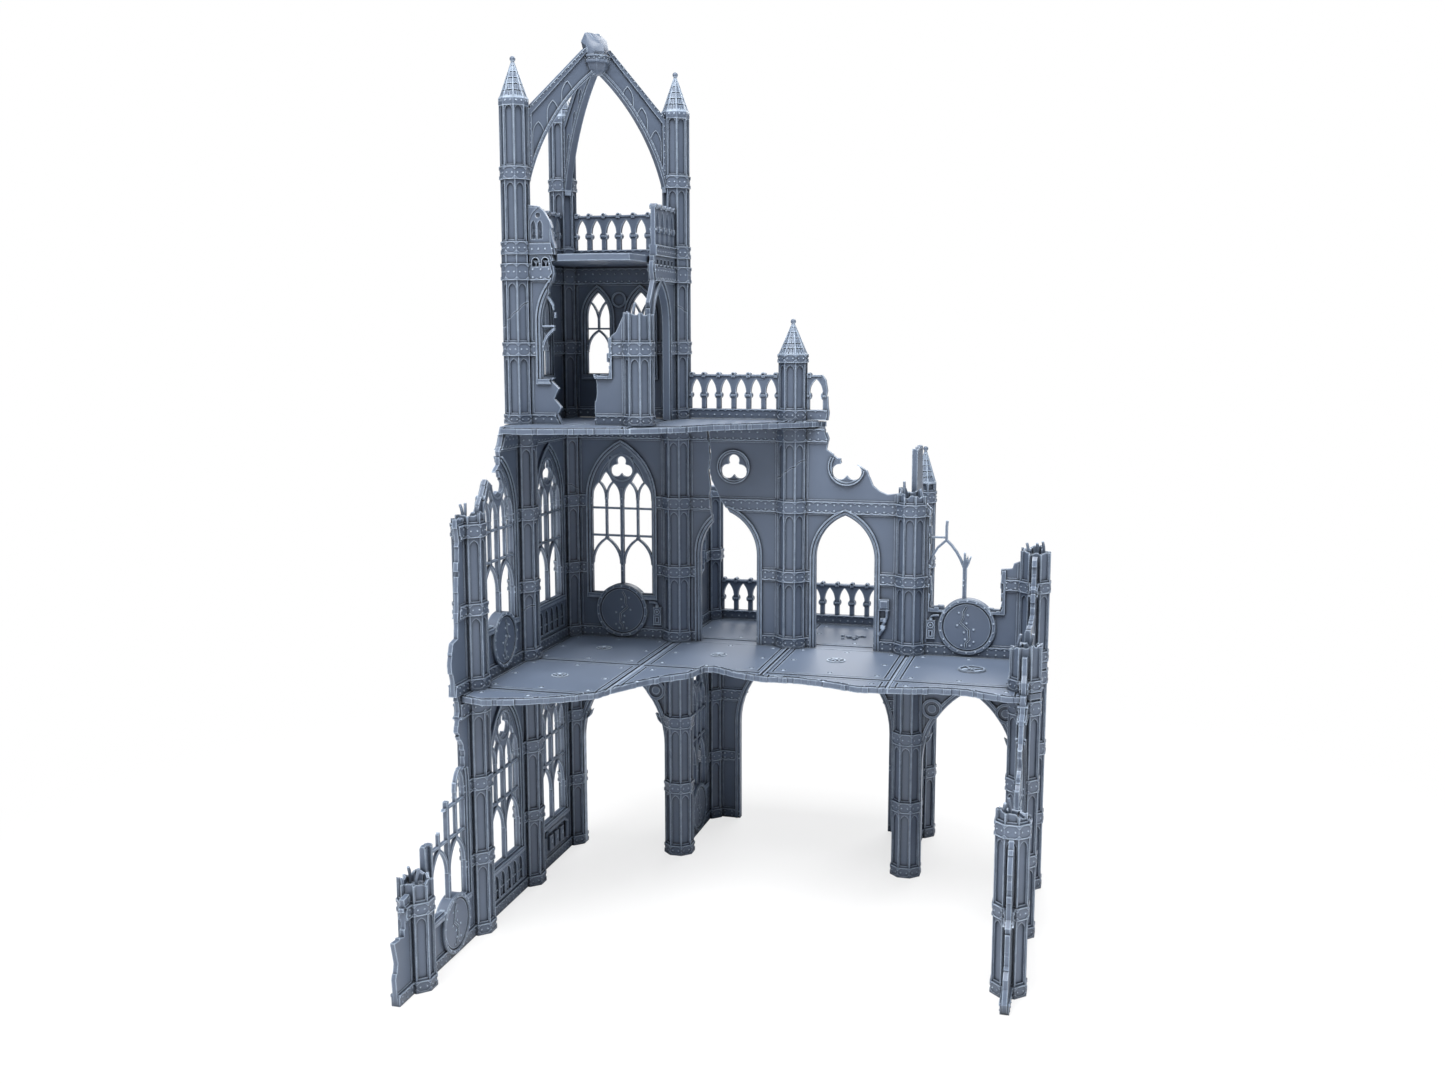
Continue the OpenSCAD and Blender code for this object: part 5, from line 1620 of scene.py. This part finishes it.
def crown():
    casting = Casting()
    crown_pillar(casting, 0, -1, 61)
    crown_pillar(casting, 1, 0, 62)
    casting.finish("crown_pillars")
    casting = Casting()
    crown_pillar(casting, 0, 0, 63, 0.45)
    casting.finish("crown_ruined_pillar")

    casting = Casting()
    for gx, gy, turn in ((0, -1, 45), (0, 0, -45), (1, 0, -135)):
        x, y = gx * BAY, gy * BAY
        c, s = math.cos(math.radians(turn)), math.sin(math.radians(turn))

        def place(u, v, d, x=x, y=y, c=c, s=s):
            return Vector((x + u * c + d * s, y + u * s - d * c, CROWN_Z + v))

        casting.sheet(rib_sheet(), place)
    casting.finish("crown_ribs")

    casting = Casting()
    broken_boss(casting, BAY / 2, -BAY / 2, CROWN_Z + 1.51 * BAY)
    casting.finish("crown_boss")

    run = BAY - 2 * CROWN_EDGE
    cast("crown_back_rail", along_back(CROWN_EDGE, 0, CROWN_Z), rail_sheet(run, 6))
    cast("crown_left_rail", along_side(0, -CROWN_EDGE, CROWN_Z), rail_sheet(run, 6))
    cast("crown_front_window", along_back(0, -BAY, CROWN_Z), shattered_window())
    short = rail_sheet(run - 0.27 * BAY, 4, 0.385 * BAY)
    cast("crown_right_rail", along_side(BAY, -CROWN_EDGE, CROWN_Z), short)


# ---------------------------------------------------------------- build

ground_walls()
ground_columns()
floors()
balcony()
middle_walls()
middle_columns()
tower_walls()
tower_frame()
terrace()
crown()

# ---------------------------------------------------------------- stage, light and camera

AMBIENT = 0.085
PAPER_HALF = 3.0
PAPER = (0.9, 0.9, 0.9, 1)
PAPER_GLOW = (0.72, 1.0)  # share of white glow close to the object and far from it
GLOW_REACH = (0.12, 0.5)
LAMPS = (
    ("overhead", (0.15, -0.7, 1.9), (0.13, -0.05, 0.1), 62, 1.4),
    ("behind", (0.3, 1.5, 1.3), (0.13, -0.05, 0.15), 26, 1.3),
    ("front_left", (-0.9, -1.9, 1.0), (0.1, 0, 0.2), 4.5, 1.0),
    ("front_right", (1.5, -1.5, 0.9), (0.1, 0, 0.2), 2, 1.0))

# Where the photograph was taken from, in bays from the back left corner, and how the camera was turned
CAMERA_AT = (4.5544, -11.5433, 4.5294)
YAW, PITCH, ROLL = -0.2671, 0.1456, -0.0013
LENS = 35.48


def paper_material():
    """Pale paper under a painted white glow that only the camera sees: it lightens the paper's shadows near
    the object and turns it pure white away from it.
    """
    paper = bpy.data.materials.new("white_floor")
    paper.use_nodes = True
    nodes, links = paper.node_tree.nodes, paper.node_tree.links
    shader = nodes["Principled BSDF"]
    shader.inputs["Base Color"].default_value = PAPER
    shader.inputs["Roughness"].default_value = 0.9
    shader.inputs["Specular IOR Level"].default_value = 0.0
    # painted glow, seen only by camera rays, that lightens the floor's shadows
    glow = nodes.new("ShaderNodeEmission")
    glow.inputs["Color"].default_value = (1, 1, 1, 1)
    where = nodes.new("ShaderNodeTexCoord")
    shift = nodes.new("ShaderNodeVectorMath")
    shift.operation = "DISTANCE"
    shift.inputs[1].default_value = Vector((2, -1, 0)) * BAY * 0.001
    links.new(where.outputs["Object"], shift.inputs[0])
    fade = nodes.new("ShaderNodeMapRange")
    fade.interpolation_type = "SMOOTHSTEP"
    fade.inputs["From Min"].default_value, fade.inputs["From Max"].default_value = GLOW_REACH
    fade.inputs["To Min"].default_value, fade.inputs["To Max"].default_value = PAPER_GLOW
    links.new(shift.outputs["Value"], fade.inputs["Value"])
    seen = nodes.new("ShaderNodeLightPath")
    share = nodes.new("ShaderNodeMath")
    share.operation = "MULTIPLY"
    links.new(fade.outputs["Result"], share.inputs[0])
    links.new(seen.outputs["Is Camera Ray"], share.inputs[1])
    blend = nodes.new("ShaderNodeMixShader")
    links.new(share.outputs["Value"], blend.inputs["Fac"])
    links.new(shader.outputs["BSDF"], blend.inputs[1])
    links.new(glow.outputs["Emission"], blend.inputs[2])
    links.new(blend.outputs["Shader"], nodes["Material Output"].inputs["Surface"])
    return paper


def paper_floor():
    mesh = bpy.data.meshes.new("floor")
    corners = rect(-PAPER_HALF, -PAPER_HALF, PAPER_HALF, PAPER_HALF)
    mesh.from_pydata([(x, y, 0) for x, y in corners], [], [(0, 1, 2, 3)])
    floor = bpy.data.objects.new("floor", mesh)
    bpy.context.scene.collection.objects.link(floor)
    floor.data.materials.append(paper_material())


def studio_light():
    """White surroundings that light the object only faintly, and soft lamps."""
    world = bpy.data.worlds.new("studio")
    bpy.context.scene.world = world
    world.use_nodes = True
    nodes, links = world.node_tree.nodes, world.node_tree.links
    sky = nodes["Background"]
    sky.inputs["Color"].default_value = (1, 1, 1, 1)
    seen = nodes.new("ShaderNodeLightPath")
    level = nodes.new("ShaderNodeMapRange")
    level.inputs["To Min"].default_value = AMBIENT
    level.inputs["To Max"].default_value = 1.0
    links.new(seen.outputs["Is Camera Ray"], level.inputs["Value"])
    links.new(level.outputs["Result"], sky.inputs["Strength"])

    for name, place, aim, power, side in LAMPS:
        light = bpy.data.lights.new(name, "AREA")
        light.energy = power
        light.size = side
        lamp = bpy.data.objects.new(name, light)
        lamp.location = place
        lamp.visible_camera = False
        lamp.rotation_euler = (Vector(aim) - Vector(place)).to_track_quat("-Z", "Y").to_euler()
        bpy.context.scene.collection.objects.link(lamp)


def photo_camera():
    """Stands where the photograph was taken."""
    forward = Vector((math.sin(YAW) * math.cos(PITCH), math.cos(YAW) * math.cos(PITCH), -math.sin(PITCH)))
    level = Vector((math.cos(YAW), -math.sin(YAW), 0))
    upright = level.cross(forward)
    right = level * math.cos(ROLL) + upright * math.sin(ROLL)
    up = upright * math.cos(ROLL) - level * math.sin(ROLL)
    data = bpy.data.cameras.new("camera")
    data.sensor_width = 36
    data.lens = LENS
    data.clip_end = 20
    camera = bpy.data.objects.new("camera", data)
    turn = Matrix((right, up, -forward)).transposed().to_4x4()
    camera.matrix_world = Matrix.Translation(Vector(CAMERA_AT) * BAY * 0.001) @ turn
    bpy.context.scene.collection.objects.link(camera)
    bpy.context.scene.camera = camera


paper_floor()
studio_light()
photo_camera()
bpy.context.scene.view_settings.view_transform = "Standard"
bpy.context.scene.view_settings.look = "None"
